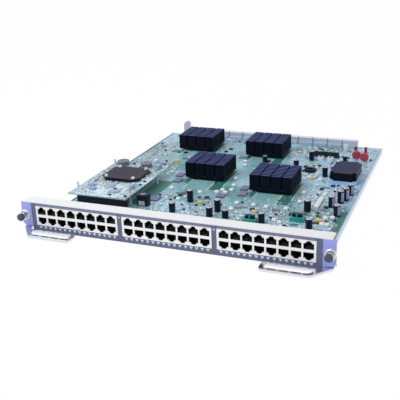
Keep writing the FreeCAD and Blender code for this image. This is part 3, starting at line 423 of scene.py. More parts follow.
class Wiring:
    """Short words for placing and joining nodes in one tree."""

    def __init__(self, tree):
        self.tree = tree

    def add(self, kind, settings=None, **sockets):
        node = self.tree.nodes.new(kind)
        for key, setting in (settings or {}).items():
            setattr(node, key, setting)
        self.feed(node, **sockets)
        return node

    def feed(self, node, **sockets):
        """Joins each source to the node's input of that name."""
        for key, source in sockets.items():
            self.join(source, node.inputs[key.replace("_", " ")])

    def join(self, source, socket):
        """Links an output to a socket, or sets the socket where source is a plain value."""
        if isinstance(source, bpy.types.NodeSocket):
            self.tree.links.new(source, socket)
        else:
            socket.default_value = source

    def maths(self, operation, first, second=0.0):
        node = self.add("ShaderNodeMath", {"operation": operation})
        self.join(first, node.inputs[0])
        self.join(second, node.inputs[1])
        return node.outputs[0]

    def times(self, first, second):
        return self.maths("MULTIPLY", first, second)

    def plus(self, first, second):
        return self.maths("ADD", first, second)

    def over(self, value, bar):
        """One where the value is over the bar, and zero elsewhere."""
        return self.maths("GREATER_THAN", value, bar)

    def blend(self, amount, first, second):
        """A colour between two, by amount."""
        node = self.add("ShaderNodeMix", {"data_type": "RGBA"})
        self.join(amount, node.inputs[0])
        for tone, place in ((first, node.inputs[6]), (second, node.inputs[7])):
            self.join(tone if isinstance(tone, bpy.types.NodeSocket) else (*tone, 1.0), place)
        return node.outputs[2]

    def spread(self, amount, low, high, to_low=0.0, to_high=1.0):
        """The range from low to high laid over the range from to_low to to_high, and held at its ends."""
        node = self.add("ShaderNodeMapRange", Value=amount)
        for number, place in zip((low, high, to_low, to_high), node.inputs[1:5]):
            place.default_value = number
        return node.outputs[0]

    def object_place(self, stretch=(1.0, 1.0, 1.0)):
        """Object coordinates, stretched."""
        place = self.add("ShaderNodeTexCoord").outputs["Object"]
        return self.add("ShaderNodeMapping", Vector=place, Scale=stretch).outputs["Vector"]

    def facing_up(self):
        """The upward share of the direction that the surface faces."""
        normal = self.add("ShaderNodeTexCoord").outputs["Normal"]
        return self.add("ShaderNodeSeparateXYZ", Vector=normal).outputs["Z"]

    def noise(self, place, scale, detail=2.0):
        return self.add("ShaderNodeTexNoise", Vector=place, Scale=scale, Detail=detail).outputs[0]

    def waves(self, place, scale, way="X", distortion=0.0):
        """Parallel waves that follow one another along one direction."""
        return self.add("ShaderNodeTexWave", {"bands_direction": way}, Vector=place, Scale=scale,
                        Distortion=distortion).outputs["Fac"]

    def cells(self, place, scale, scatter=1.0):
        """Square cells: three random numbers for each cell, and the distance from its middle."""
        node = self.add("ShaderNodeTexVoronoi", {"distance": "CHEBYCHEV", "voronoi_dimensions": "2D"},
                        Vector=place, Scale=scale, Randomness=scatter)
        numbers = self.add("ShaderNodeSeparateColor", Color=node.outputs["Color"]).outputs
        return numbers, node.outputs["Distance"]

    def bump(self, height, strength, distance):
        return self.add("ShaderNodeBump", Height=height, Strength=strength,
                        Distance=distance).outputs["Normal"]

    def effect(self, make, **sockets):
        """One of the shared node groups placed in this tree; the group is built at its first use."""
        if make not in EFFECTS:
            EFFECTS[make] = make()
        return self.add("ShaderNodeGroup", {"node_tree": EFFECTS[make]}, **sockets).outputs


def grain_group():
    """Fine unevenness of moulded, painted and plated surfaces: two noises, a broad one for the tone and a
    fine one for the tone and the height of a bump."""
    wiring, enter, leave = new_group("Surface grain",
                                     {"Fine scale": 2500.0, "Broad scale": 30.0, "Bump": 0.2},
                                     ("Shade", "Normal"))
    fine = wiring.noise(enter["Vector"], enter["Fine scale"], 3.0)
    broad = wiring.noise(enter["Vector"], enter["Broad scale"], 4.0)
    wiring.feed(leave, Shade=wiring.plus(wiring.times(fine, 0.5), wiring.times(broad, 0.5)),
                Normal=wiring.bump(fine, enter["Bump"], 0.2 * MM))
    return wiring.tree


def circuit_group():
    """Copper under lacquer: square cells choose between three directions of fine parallel tracks, larger
    cells are copper areas, small dots are plated holes, and of the smallest cells some hold a bare pad and
    some are cleared of copper, both more often where a broad noise is high."""
    wiring, enter, leave = new_group("Circuit copper",
                                     {"Track scale": 330.0, "Area scale": 26.0, "Hole scale": 190.0},
                                     ("Track", "Area", "Hole", "Pad", "Clear", "Height"))
    place, area_scale, hole_scale = enter["Vector"], enter["Area scale"], enter["Hole scale"]
    first_way, second_way, tracked, filled = 0.45, 0.75, 0.38, 0.52
    pad_reach, clear_reach = 0.28, 0.44
    pick, _ = wiring.cells(place, area_scale)
    bands = [wiring.waves(place, enter["Track scale"], way) for way in ("X", "Y", "DIAGONAL")]
    past_first, past_second = wiring.over(pick[0], first_way), wiring.over(pick[0], second_way)
    line = wiring.plus(wiring.times(bands[0], wiring.maths("SUBTRACT", 1.0, past_first)),
                       wiring.times(bands[1], wiring.maths("SUBTRACT", past_first, past_second)))
    line = wiring.plus(line, wiring.times(bands[2], past_second))
    track = wiring.times(wiring.spread(line, 0.55, 0.75), wiring.over(pick[1], tracked))
    wide, _ = wiring.cells(place, wiring.times(area_scale, 0.62))
    dots = wiring.add("ShaderNodeTexVoronoi", {"voronoi_dimensions": "2D"}, Vector=place, Scale=hole_scale,
                      Randomness=0.75)
    hole = wiring.spread(dots.outputs["Distance"], 0.16, 0.10)
    lot, away = wiring.cells(place, wiring.times(hole_scale, 2.1), 0.35)
    crowd = wiring.noise(place, wiring.times(area_scale, 0.8))
    pad = wiring.times(wiring.over(lot[0], wiring.spread(crowd, 0.42, 0.58, 0.93, 0.68)),
                       wiring.maths("LESS_THAN", away, pad_reach))
    clear = wiring.times(wiring.over(lot[1], wiring.spread(crowd, 0.42, 0.58, 0.85, 0.55)),
                         wiring.maths("LESS_THAN", away, clear_reach))
    wiring.feed(leave, Track=track, Area=wiring.over(wide[2], filled), Hole=hole, Pad=pad, Clear=clear,
                Height=wiring.plus(track, hole))
    return wiring.tree


def brushed_group():
    """Rolled or brushed sheet: noise stretched along one direction, as a tone and a bump."""
    wiring, enter, leave = new_group("Brushed lines", {"Scale": 400.0, "Bump": 0.15}, ("Shade", "Normal"))
    lines = wiring.noise(enter["Vector"], enter["Scale"], 4.0)
    wiring.feed(leave, Shade=lines, Normal=wiring.bump(lines, enter["Bump"], 0.1 * MM))
    return wiring.tree


EFFECTS = {}


# ------------------------------------------------------------------ finishes

FINISHES = {}


COATS = {
    # name: (tone, or the setting that holds it; roughness; what else grained() takes); the lighter tone that
    # some rows give for upward faces is painted top light
    "Lavender powder coat": ("card_panel.end_paint", 0.42, dict(vary=0.08, bump=0.35, fine=1800.0)),
    "Slate film": ("card_panel.field_film", 0.5, dict(vary=0.05, bump=0.12, fine=3000.0)),
    "Light windows": ("card_panel.mark_print", 0.35, dict(vary=0.05)),
    "Film print": ((0.42, 0.46, 0.60), 0.4, dict(vary=0.05)),
    "Socket moulding": ((0.008, 0.008, 0.010), 0.5, {}),
    "Contact plating": ((0.30, 0.27, 0.26), 0.35, dict(Metallic=0.6)),
    "Solder and terminals": ((0.80, 0.81, 0.84), 0.30, dict(fine=4000.0, Metallic=0.9)),
    "Bright steel": ((0.66, 0.67, 0.71), 0.24, dict(vary=0.05, Metallic=1.0)),
    "Black moulding": ("card_parts.moulding", 0.45, dict(bump=0.3, dust=(0.035, 0.042, 0.095),
                                                         Specular_IOR_Level=0.2)),
    "White moulding": ((0.80, 0.81, 0.84), 0.42, dict(vary=0.04, bump=0.15)),
    "Grey moulding": ((0.060, 0.068, 0.13), 0.42, dict(dust=(0.19, 0.20, 0.34))),
    "Yellow moulding": ((0.86, 0.62, 0.16), 0.4, {}),
    "Teal moulding": ((0.02, 0.34, 0.27), 0.3, {}),
    "Pale blue moulding": ((0.34, 0.44, 0.66), 0.35, dict(vary=0.2)),
    "Pale moulding": ((0.80, 0.87, 0.90), 0.3, dict(vary=0.08)),
    "Silkscreen": ("card_board.silk", 0.6, dict(vary=0.05)),
    # this lacquer is also laid as a painted shadow beside the daughter board
    "Bare lacquer and painted shadow": ((0.040, 0.185, 0.160), 0.34, dict(vary=0.22, broad=90.0)),
    "Black anodising": ("card_board.anodise", 0.45, dict(vary=0.25, bump=0.15, fine=3500.0,
                                                         dust=(0.090, 0.120, 0.345),
                                                         Specular_IOR_Level=0.12)),
    "Dark anodised plate": ((0.006, 0.005, 0.012), 0.40, dict(vary=0.2, dust=(0.030, 0.026, 0.050),
                                                              Specular_IOR_Level=0.2)),
    "Can sleeve": ("card_parts.sleeve", 0.30, dict(vary=0.15, Specular_IOR_Level=0.25)),
    "Can top": ("card_parts.can_tin", 0.3, dict(vary=0.05, Metallic=0.8)),
    # painted highlight on the right side of the can sleeves
    "Painted sleeve highlight": ((0.27, 0.31, 0.50), 0.35, {}),
    "Post nickel": ((0.74, 0.78, 0.82), 0.35, dict(Metallic=0.6)),
    "Grey ferrite": ((0.20, 0.21, 0.27), 0.45, dict(vary=0.12)),
    "Converter case": ((0.003, 0.004, 0.010), 0.45, dict(dust=(0.016, 0.022, 0.085),
                                                         Specular_IOR_Level=0.15)),
    "Converter base": ((0.42, 0.62, 1.0), 0.4, {}),
    "Regulator board": ((0.004, 0.022, 0.018), 0.35, {}),
    "Enamelled wire": ((0.050, 0.034, 0.045), 0.28, dict(Metallic=0.7)),
    "Choke window": ((0.20, 0.22, 0.26), 0.3, {}),
    "Disc coating": ("card_parts.disc", 0.28, dict(Coat_Weight=0.4)),
    "Fuse sleeve": ((0.22, 0.03, 0.07), 0.35, {}),
    "Connector moulding": ((0.46, 0.56, 0.70), 0.45, dict(vary=0.05)),
    # painted shade for the open cells of the plugs
    "Connector cell shade": ((0.10, 0.10, 0.14), 0.6, {}),
    "Guide post casting": ((0.60, 0.60, 0.70), 0.35, dict(Metallic=0.6)),
    "Resistor glaze": ((0.03, 0.035, 0.045), 0.35, {}),
    "Capacitor ceramic": ((0.62, 0.48, 0.34), 0.4, {}),
    "Pale ceramic": ((0.86, 0.90, 0.93), 0.35, {}),
    "Collar nickel": ((0.93, 0.94, 0.97), 0.32, dict(vary=0.04, Metallic=0.8)),
    "Knob moulding": ("card_parts.knob", 0.38, dict(vary=0.12)),
}


def finish(name, build, **plain):
    """A material made once: plain sockets are set on its shader, and build gives what feeds the others."""
    if name not in FINISHES:
        material = bpy.data.materials.new(name)
        material.use_nodes = True
        wiring = Wiring(material.node_tree)
        wiring.feed(material.node_tree.nodes["Principled BSDF"], **plain, **build(wiring))
        FINISHES[name] = material
    return FINISHES[name]


def shaded(tone, amount):
    """A darker and a lighter version of a tone."""
    tone = np.asarray(tone, float)
    return tuple(tone * (1 - amount)), tuple(np.minimum(tone * (1 + amount), 1.0))


def grained(name, tone, rough, vary=0.10, bump=0.2, fine=2500.0, broad=30.0, dust=None, **plain):
    """Moulded, painted or plated: grain in the tone, the roughness and the height. The painted top light
    is a lighter tone painted on what faces up, in place of the light that falls on tops from above."""
    def build(wiring):
        grain = wiring.effect(grain_group, Vector=wiring.object_place(), Fine_scale=fine, Broad_scale=broad,
                              Bump=bump)
        base = wiring.blend(grain["Shade"], *shaded(tone, vary))
        # painted light: faces that point up are blended towards the lighter tone, as if lit from above
        if dust:
            painted_top_share = wiring.times(wiring.spread(wiring.facing_up(), 0.5, 0.95),
                                 wiring.spread(grain["Shade"], 0.3, 0.7, 0.75, 1.0))
            base = wiring.blend(painted_top_share, base, dust)
        return {"Base_Color": base, "Normal": grain["Normal"],
                "Roughness": wiring.spread(grain["Shade"], 0.3, 0.7, rough * 0.85, min(rough * 1.15, 1.0))}
    return finish(name, build, **plain)


def coat(name):
    """A grained finish from its row in COATS."""
    tone, rough, more = COATS[name]
    if isinstance(tone, str):
        group, setting = tone.split(".")
        tone = getattr(getattr(bpy.context.scene, group), setting)
    return grained(name, tone, rough, **more)


def coats(*names):
    """The finishes of a piece, one for each tone of its form."""
    return [coat(name) for name in names]


def brushed(name, tone, rough, stretch=(0.02, 1.0, 1.0), vary=0.06, bump=0.15, scale=900.0, metal=1.0):
    """Rolled metal: fine lines in the tone, the roughness and the height."""
    def build(wiring):
        lines = wiring.effect(brushed_group, Vector=wiring.object_place(stretch), Scale=scale, Bump=bump)
        return {"Base_Color": wiring.blend(lines["Shade"], *shaded(tone, vary)), "Normal": lines["Normal"],
                "Roughness": wiring.spread(lines["Shade"], 0.3, 0.7, rough * 0.8, rough * 1.2)}
    return finish(name, build, Metallic=metal)


def circuit(name, mask, pour, track, pads, area_scale=26.0, track_scale=330.0, calm=False):
    """Lacquered board: laminate, copper areas, tracks, plated holes and pads, and cut edges without them.
    With calm, a ball of influence round the board's middle keeps that greener and nearly free of pads."""
    edge_tone, calm_tone = (0.30, 0.50, 0.46), (0.085, 0.36, 0.33)
    calm_x, calm_y, calm_reach = -30.4 * MM, 40 * MM, 160 * MM

    def build(wiring):
        place = wiring.object_place()
        copper = wiring.effect(circuit_group, Vector=place, Track_scale=track_scale, Area_scale=area_scale)
        half = tuple((np.asarray(mask) + np.asarray(pour)) / 2)
        ground = wiring.blend(copper["Area"], half, pour)
        cleared = wiring.times(copper["Clear"], 0.7)
        shown = wiring.maths("MAXIMUM", copper["Hole"], copper["Pad"])
        if calm:
            ball_place = wiring.add("ShaderNodeMapping", Vector=place,
                                    Location=(-calm_x / calm_reach, -calm_y / calm_reach, 0.0),
                                    Scale=(1 / calm_reach, 1 / calm_reach, 0.0)).outputs["Vector"]
            ball = wiring.add("ShaderNodeTexGradient", {"gradient_type": "SPHERICAL"},
                              Vector=ball_place).outputs["Fac"]
            busy = wiring.spread(ball, 0.05, 0.30, 1.0, 0.12)
            cleared, shown = wiring.times(cleared, busy), wiring.times(shown, busy)
            ground = wiring.blend(wiring.spread(ball, 0.0, 0.40, 1.0, 0.62), calm_tone, ground)
        mottle = wiring.spread(wiring.noise(place, 14.0, 6.0), 0.50, 0.72, 0.0, 0.75)
        ground = wiring.blend(mottle, ground, mask)
        ground = wiring.blend(wiring.times(copper["Track"], 0.55), ground, track)
        ground = wiring.blend(cleared, ground, mask)
        ground = wiring.blend(shown, ground, pads)
        flat = wiring.over(wiring.maths("ABSOLUTE", wiring.facing_up()), 0.5)
        return {"Base_Color": wiring.blend(flat, edge_tone, ground),
                "Roughness": wiring.spread(copper["Hole"], 0.0, 1.0, 0.34, 0.22),
                "Normal": wiring.bump(copper["Height"], 0.3, 0.05 * MM)}

    return finish(name, build, Coat_Weight=0.35, Coat_Roughness=0.2)


def close_tracks(name, low, high, scale=170.0):
    """Tracks that run along Y side by side: a band wave across them makes their tone and height."""
    def build(wiring):
        place = wiring.object_place()
        bands = wiring.waves(place, scale)
        broad = wiring.spread(wiring.noise(place, 60.0, 3.0), 0.3, 0.7, 0.0, 0.35)
        return {"Base_Color": wiring.blend(wiring.plus(wiring.times(bands, 0.45), broad), low, high),
                "Normal": wiring.bump(bands, 0.3, 0.05 * MM)}
    return finish(name, build, Roughness=0.35)


def woven(name, tone, scale=1400.0):
    """Metallised cloth: two crossed waves make the weave's tone and height."""
    def build(wiring):
        place = wiring.object_place()
        weave = wiring.times(*(wiring.waves(place, scale, way, 0.6) for way in ("X", "Y")))
        mixed = wiring.plus(wiring.times(weave, 0.5), wiring.times(wiring.noise(place, 260.0), 0.5))
        return {"Base_Color": wiring.blend(mixed, *shaded(tone, 0.12)),
                "Normal": wiring.bump(weave, 0.5, 0.2 * MM)}
    return finish(name, build, Roughness=0.5)


# ------------------------------------------------------------------ front panel and sockets

def mouth_outline(look):
    """Twelve points of a socket's stepped mouth and, point for point, of the cell round it: (x, height
    above the row's middle bar)."""
    half, step, latch = look.mouth_wide / 2, look.step_wide / 2, look.latch_wide / 2
    low = look.bar_high / 2
    shoulder = low + look.mouth_high
    ledge = shoulder + look.step_high
    top = ledge + look.latch_high
    can_low, can_high = box_of("jack_shield_1")
    roof, side = (can_high[2] - can_low[2]) / 2, look.port_pitch / 2
    mouth = [(half, low), (half, shoulder), (step, shoulder), (step, ledge), (latch, ledge), (latch, top)]
    cell = [(side, 0.0), (side, shoulder), (side, roof), (step, roof), ((step + latch) / 2, roof),
            (latch, roof)]

    def whole(right):
        right = np.array(right)
        left = right[1:][::-1] * (-1, 1)
        return np.vstack([right[:1] * (-1, 1), right, left])

    return whole(mouth), whole(cell)


def socket_columns(look, can):
    """X of the middle of each column of sockets that a can holds."""
    low, high = can
    columns = round((high[0] - low[0]) // look.port_pitch)
    return (low[0] + high[0]) / 2 + centred(columns, look.port_pitch)


def socket_faces(look, can):
    """The can's front: each socket's cell is a surface from the cell's outline to its mouth and on to a
    rolled lip inside, repeated along both rows; plain strips close the two ends."""
    low, high = can
    front, thin = low[1], 0.5 * MM
    mouth, cell = mouth_outline(look)
    lip = mouth * (1 - 0.25 * MM / look.mouth_wide)
    lip_front, lip_back = 0.35 * MM, 1.3 * MM
    centres = socket_columns(look, can)
    cells = []
    for side in (1, -1):
        rings = np.stack([np.column_stack([flat[:, 0], np.full(len(flat), back), side * flat[:, 1]])
                          for flat, back in ((cell, 0.0), (mouth, 0.0), (lip, lip_front), (lip, lip_back))])
        cells.append(skin(rings[:, ::side], capped=False))
    row = joined(cells).repeated([(x, front, (low[2] + high[2]) / 2) for x in centres])
    left, right = centres[0] - look.port_pitch / 2, centres[-1] + look.port_pitch / 2
    return joined([row, brick((low[0], front, low[2]), (left, front + thin, high[2])),
                   brick((right, front, low[2]), (high[0], front + thin, high[2]))])


def can_walls(can):
    """The can's folded top, sides and back as thin sheets."""
    low, high = can
    thin, fold = 0.5 * MM, 0.08 * MM
    front = low[1] + thin
    return joined([brick((low[0], front, high[2] - thin), high, bevel=fold),
                   brick((low[0], front, low[2]), (low[0] + thin, high[1], high[2] - thin), bevel=fold),
                   brick((high[0] - thin, front, low[2]), (high[0], high[1], high[2] - thin), bevel=fold),
                   brick((low[0] + thin, high[1] - thin, low[2]), (high[0] - thin, high[1], high[2] - thin))])


def contact_wires(look, can):
    """Eight sprung wires in each socket: thin bars that slope from the mouth's outer edge to the back."""
    low, high = can
    slope = mm((2.0, 0.5), (7.0, 2.6), (14.5, 3.4)) + (low[1], look.bar_high / 2)
    bars = [wire([(0, y, side * rise) for y, rise in slope], 0.4 * MM, sides=4) for side in (1, -1)]
    x = (socket_columns(look, can)[:, None] + centred(8, 1.02 * MM)).ravel()
    return joined(bars).repeated([(one, 0, (low[2] + high[2]) / 2) for one in x])


class LINECARD_OT_panel(bpy.types.Operator):
    """Paint, film, gasket, rivets and light windows of the front panel"""
    bl_idname = "linecard.panel"
    bl_label = "Front panel"

    def execute(self, context):
        dress(coat("Lavender powder coat"), "front_panel")
        dress(coat("Slate film"), "panel_overlay")
        dress(woven("Metallised cloth", (0.99, 1.0, 1.0)), "top_gasket")
        self.light_windows(context.scene.card_panel)
        self.separator_rivets()
        return {"FINISHED"}

    @staticmethod
    def light_windows(look):
        """Sixteen small three-sided windows under each bank, and two thin lines above it."""
        half, high_z, point_z, lift = look.mark_wide / 2, 6.9 * MM, 3.3 * MM, 0.06 * MM
        window = skin([[(-half, y, high_z), (0, y, point_z), (half, y, high_z)] for y in (-lift, 0)])
        places, lines = [], []
        for number in BANKS:
            low, high = box_of(f"jack_shield_{number}")
            steps = (low[0] + high[0]) / 2 + centred(16, look.mark_pitch)
            places += [(x, FILM_Y, 0.0) for x in steps]
            for rise in (0.8 * MM, 1.7 * MM):
                lines.append(brick((low[0] + rise, FILM_Y - lift, high[2] + rise),
                                   (high[0] - rise, FILM_Y, high[2] + rise + 0.3 * MM)))
        piece("light_windows", window.repeated(places) + joined(lines).toned(1),
              coats("Light windows", "Film print"))

    @staticmethod
    def separator_rivets():
        """A domed rivet near the top of each separator between the banks."""
        dome = turned(mm((1.3, 0), (1.25, 0.25), (1.0, 0.45), (0.5, 0.55), (0.1, 0.6)), 20).along_y()
        rivet_z = box_of("front_panel")[1][2] - 4.8 * MM
        places = []
        for number in BANKS[:-1]:
            right, left = box_of(f"jack_shield_{number}")[1][0], box_of(f"jack_shield_{number + 1}")[0][0]
            places.append(((right + left) / 2, FILM_Y, rivet_z))
        to_the_front = (1, -1, -1)
        piece("separator_rivets", dome.repeated(places, to_the_front), coats("Bright steel"))


class LINECARD_OT_sockets(bpy.types.Operator):
    """Tinned cans with stepped mouths, and the black bodies and contact wires inside them"""
    bl_idname = "linecard.sockets"
    bl_label = "Sockets"

    def execute(self, context):
        look = context.scene.card_panel
        tin = brushed("Tinned sheet", look.tin, 0.42, (1.0, 0.05, 0.05), scale=500.0, metal=0.5)
        for number in BANKS:
            can = box_of(f"jack_shield_{number}")
            dress(coat("Socket moulding"), f"jack_body_{number}", f"jack_webs_{number}")
            piece(f"socket_can_{number}", socket_faces(look, can) + can_walls(can), [tin],
                  replaces=[f"jack_shield_{number}"])
            piece(f"contact_wires_{number}", contact_wires(look, can), coats("Contact plating"))
        return {"FINISHED"}


# ------------------------------------------------------------------ tray, main board and its print

class LINECARD_OT_tray(bpy.types.Operator):
    """Zinc-plated tray, its posts and the screws that hold the board"""
    bl_idname = "linecard.tray"
    bl_label = "Tray and screws"

    def execute(self, context):
        dress(brushed("Zinc-plated sheet", (0.62, 0.72, 0.86), 0.42, (1.0, 0.03, 1.0), scale=240.0),
              "base_tray", "lever_brackets")
        dress(coat("Bright steel"), "board_posts")
        head = turned(mm((2.8, 0), (2.8, 0.5), (2.5, 1.2), (1.6, 1.6), (0.9, 1.6), (0.8, 1.0), (0.1, 1.0)),
                      sides=20)
        places = at_height(feet_of("board_posts")[0], BOARD_TOP)
        piece("board_screws", head.repeated(places), coats("Bright steel"))
        return {"FINISHED"}


class LINECARD_OT_board(bpy.types.Operator):
    """Lacquered main board with its printed outlines and bundles of tracks"""
    bl_idname = "linecard.board"
    bl_label = "Main board"

    def execute(self, context):
        look = context.scene.card_board
        dress(circuit("Main board lacquer", look.mask, look.pour, look.track, (0.88, 0.95, 1.0), calm=True),
              "main_board")
        self.printed_areas(look)
        return {"FINISHED"}

    @staticmethod
    def printed_areas(look):
        """Round each heat sink: a green area in front of it and along its right side, a pale area of close
        tracks on that, and the printed lines between them, of which the middle one is double. Two more green
        areas lie along the right edge and beside the daughter board; the one beside the daughter board is a
        painted shadow, dark lacquer laid where the daughter board's shade falls on the main board."""
        sheet = 0.04 * MM

        def area(left, front, right, rear, sheets=1):
            return brick((left, front, BOARD_TOP), (right, rear, BOARD_TOP + sheets * sheet))

        green, pale, lines = [], [], []
        for number in SINKS:
            low, high = box_of(f"heat_sink_{number}")
            near = low[1] - look.field_reach
            left, split, right = low[0] + 11 * MM, low[0] + 46 * MM, high[0] + 3.5 * MM
            green += [area(low[0] - 9 * MM, low[1] - 16 * MM, left, low[1]),
                      area(left, near + 4 * MM, right, high[1])]
            pale.append(area(left, near, split, low[1], sheets=2))
            runs = [(left, near, low[1]), (split, near, low[1]), (split + 1.6 * MM, near, low[1]),
                    (right, near + 22 * MM, high[1] - 8 * MM), (low[0] - 2 * MM, low[1], high[1])]
            lines += [ribbon([(x, y0), (x, y1)], look.print_wide, BOARD_TOP, 3 * sheet) for x, y0, y1 in runs]
        low, high = box_of("main_board")
        # the first of these two areas is painted shadow, a dark patch where the daughter board's shade falls;
        # the second runs along the right edge
        green += [area(-100 * MM, FACE_Y + 97 * MM, -76 * MM, FACE_Y + 196 * MM),
                  area(high[0] - 9 * MM, low[1] + 20 * MM, high[0] - 0.5 * MM, low[1] + 150 * MM)]
        piece("green_and_painted_shadow_areas", joined(green), coats("Bare lacquer and painted shadow"))
        tracks = close_tracks("Close tracks", (0.15, 0.35, 0.37), (0.36, 0.61, 0.68))
        piece("track_areas", joined(pale), [tracks])
        piece("printed_outlines", joined(lines), coats("Silkscreen"))


# ------------------------------------------------------------------ heat sinks and packages

class LINECARD_OT_heat_sinks(bpy.types.Operator):
    """Black anodised heat sinks on their switching chips"""
    bl_idname = "linecard.heat_sinks"
    bl_label = "Heat sinks"

    def execute(self, context):
        dress(coat("Black anodising"), *[f"heat_sink_{number}" for number in SINKS], ease=0.25 * MM)
        dress(coat("Black moulding"), "switch_chips")
        return {"FINISHED"}


def fitted(name, form, node, finishes):
    """A form of unit size, stretched into each solid of a CAD node that it replaces."""
    feet, sizes = feet_of(node)
    piece(name, form.repeated(feet, sizes), finishes, replaces=[node])


def leaded_package():
    """A moulded package of unit size with seven bent leads on each long side."""
    lead = slab(0.12, 0.07, 0.14).toned(1)
    places = [(side * 0.45, row, 0.0) for side in (-1, 1) for row in centred(7, 0.125)]
    return slab(0.84, 0.96, 0.86, 0.03, 0.04).moved(z=0.14) + lead.repeated(places)


class LINECARD_OT_packages(bpy.types.Operator):
    """Flat packages with leads, moulded capacitors, white headers and filter chokes"""
    bl_idname = "linecard.packages"
    bl_label = "Packages"

    def execute(self, context):
        for name, form, node, first, second, slot in (
                ("logic_packages", leaded_package(), "logic_chips", "Grey moulding", "Solder and terminals",
                 "chip_grey"),
                ("moulded_capacitors", self.moulded_capacitor(), "bead_capacitors", "Yellow moulding",
                 "Solder and terminals", "yellow_moulding"),
                ("pin_headers", self.header(), "white_headers", "White moulding", "Solder and terminals",
                 "white_nylon"),
                ("filter_coils", self.filter_coil(), "filter_chokes", "Teal moulding", "Black moulding",
                 "teal_moulding")):
            fitted(name, form, node, coats(first, second))
        return {"FINISHED"}

    @staticmethod
    def moulded_capacitor():
        """A block with a terminal at each end and a printed bar across its top."""
        ends = slab(0.08, 0.6, 0.5, 0.0, 0.02).toned(1).repeated([(-0.46, 0, 0), (0.46, 0, 0)])
        mark = slab(0.10, 0.9, 0.02).toned(1).moved(x=-0.32, z=0.98)
        return slab(0.9, 0.96, 0.98, 0.03, 0.05) + ends + mark

    @staticmethod
    def header():
        """A white block with a row of ten pins standing in its top."""
        pins = slab(0.12, 0.02, 0.12).toned(1).repeated([(0, row, 0.88) for row in centred(10, 0.09)])
        return slab(0.98, 0.99, 0.88, 0.03, 0.05) + pins

    @staticmethod
    def filter_coil():
        """A teal foot with a black core on top, held by a band."""
        core = slab(0.70, 0.54, 0.42, 0.06, 0.04).toned(1).moved(z=0.58)
        return slab(0.98, 0.98, 0.58, 0.05, 0.03) + core + slab(0.10, 0.60, 0.40, 0.02, 0.01).moved(z=0.58)


class LINECARD_OT_cans(bpy.types.Operator):
    """Tall capacitors: sleeved cans with scored tops"""
    bl_idname = "linecard.cans"
    bl_label = "Capacitor cans"

    def execute(self, context):
        feet, sizes = feet_of("electrolytic_cans")
        # painted highlight: on the front right cans the pale band is turned towards the camera's side, on the
        # others away to the rear
        highlight_shown = (feet[:, 0] > 155 * MM) & (feet[:, 1] < FACE_Y + 220 * MM)
        highlight_seen_turn, highlight_hidden_turn = -0.8, 2.2
        turns = np.where(highlight_shown, highlight_seen_turn, highlight_hidden_turn)
        piece("capacitor_cans", self.can().repeated(feet, sizes, turns),
              coats("Can sleeve", "Can top", "Painted sleeve highlight"),
              replaces=["electrolytic_cans"])
        return {"FINISHED"}

    @staticmethod
    def can():
        """A unit can: a sleeve with a crimped foot and a rolled shoulder, a pale band up its right side that
        is a painted highlight, an aluminium disc and its score."""
        sleeve = turned([(0.46, 0.0), (0.485, 0.02), (0.485, 0.07), (0.455, 0.10), (0.485, 0.13),
                         (0.49, 0.90), (0.475, 0.955), (0.44, 0.975), (0.43, 0.96)], 24)
        disc = turned([(0.43, 0.955), (0.43, 0.97), (0.40, 0.985), (0.02, 0.985)], 24).toned(1)
        arm, thin, low, high = 0.32, 0.012, 0.984, 0.994
        score = brick((-arm, -thin, low), (arm, thin, high)) + brick((-thin, -arm, low), (thin, arm, high))
        bow = np.linspace(-0.5, 0.5, 6)
        outline = np.concatenate([radius * np.column_stack([np.cos(way * bow), np.sin(way * bow)])
                                  for radius, way in ((0.494, 1), (0.470, -1))])
        # painted highlight: a pale band on the sleeve's right side, in place of the sheen where light falls
        highlight_band = skin([at_height(outline, rise) for rise in (0.15, 0.88)])
        return sleeve + disc + score + highlight_band.toned(2)


# ------------------------------------------------------------------ daughter board

class LINECARD_OT_daughter(bpy.types.Operator):
    """Daughter board with its flat heat sink, push pins, coils, posts and plugs"""
    bl_idname = "linecard.daughter"
    bl_label = "Daughter board"

    def execute(self, context):
        look = context.scene.card_board
        dress(circuit("Daughter board lacquer", look.mask, (0.64, 0.84, 0.95), look.track, (0.95, 0.96, 0.96),
                      area_scale=40.0, track_scale=420.0), "daughter_board")
        dress(coat("Black moulding"), "board_socket", "daughter_plug", "processor_chip")
        dress(coat("Dark anodised plate"), "processor_sink", ease=0.3 * MM)
        post = turned([(0.5, 0), (0.5, 0.08), (0.36, 0.14), (0.36, 0.86), (0.5, 0.92), (0.5, 1.0)], 16)
        fitted("snap_posts", post, "daughter_posts", coats("Post nickel"))
        pin = turned([(0.5, 0), (0.5, 0.35), (0.34, 0.45), (0.34, 0.75), (0.44, 0.85), (0.3, 1.0)], 20)
        fitted("pin_heads", pin, "push_pins", coats("White moulding"))
        drum = turned([(0.5, 0), (0.5, 0.22), (0.44, 0.26), (0.44, 0.70), (0.5, 0.74), (0.5, 0.96),
                       (0.46, 1.0), (0.16, 1.0), (0.14, 0.9), (0.02, 0.9)], 32)
        fitted("drum_coils", drum, "round_coils", coats("Grey ferrite"))
        fitted("daughter_packages", leaded_package(), "daughter_chips",
               coats("Pale blue moulding", "Solder and terminals"))
        return {"FINISHED"}


# ------------------------------------------------------------------ power parts

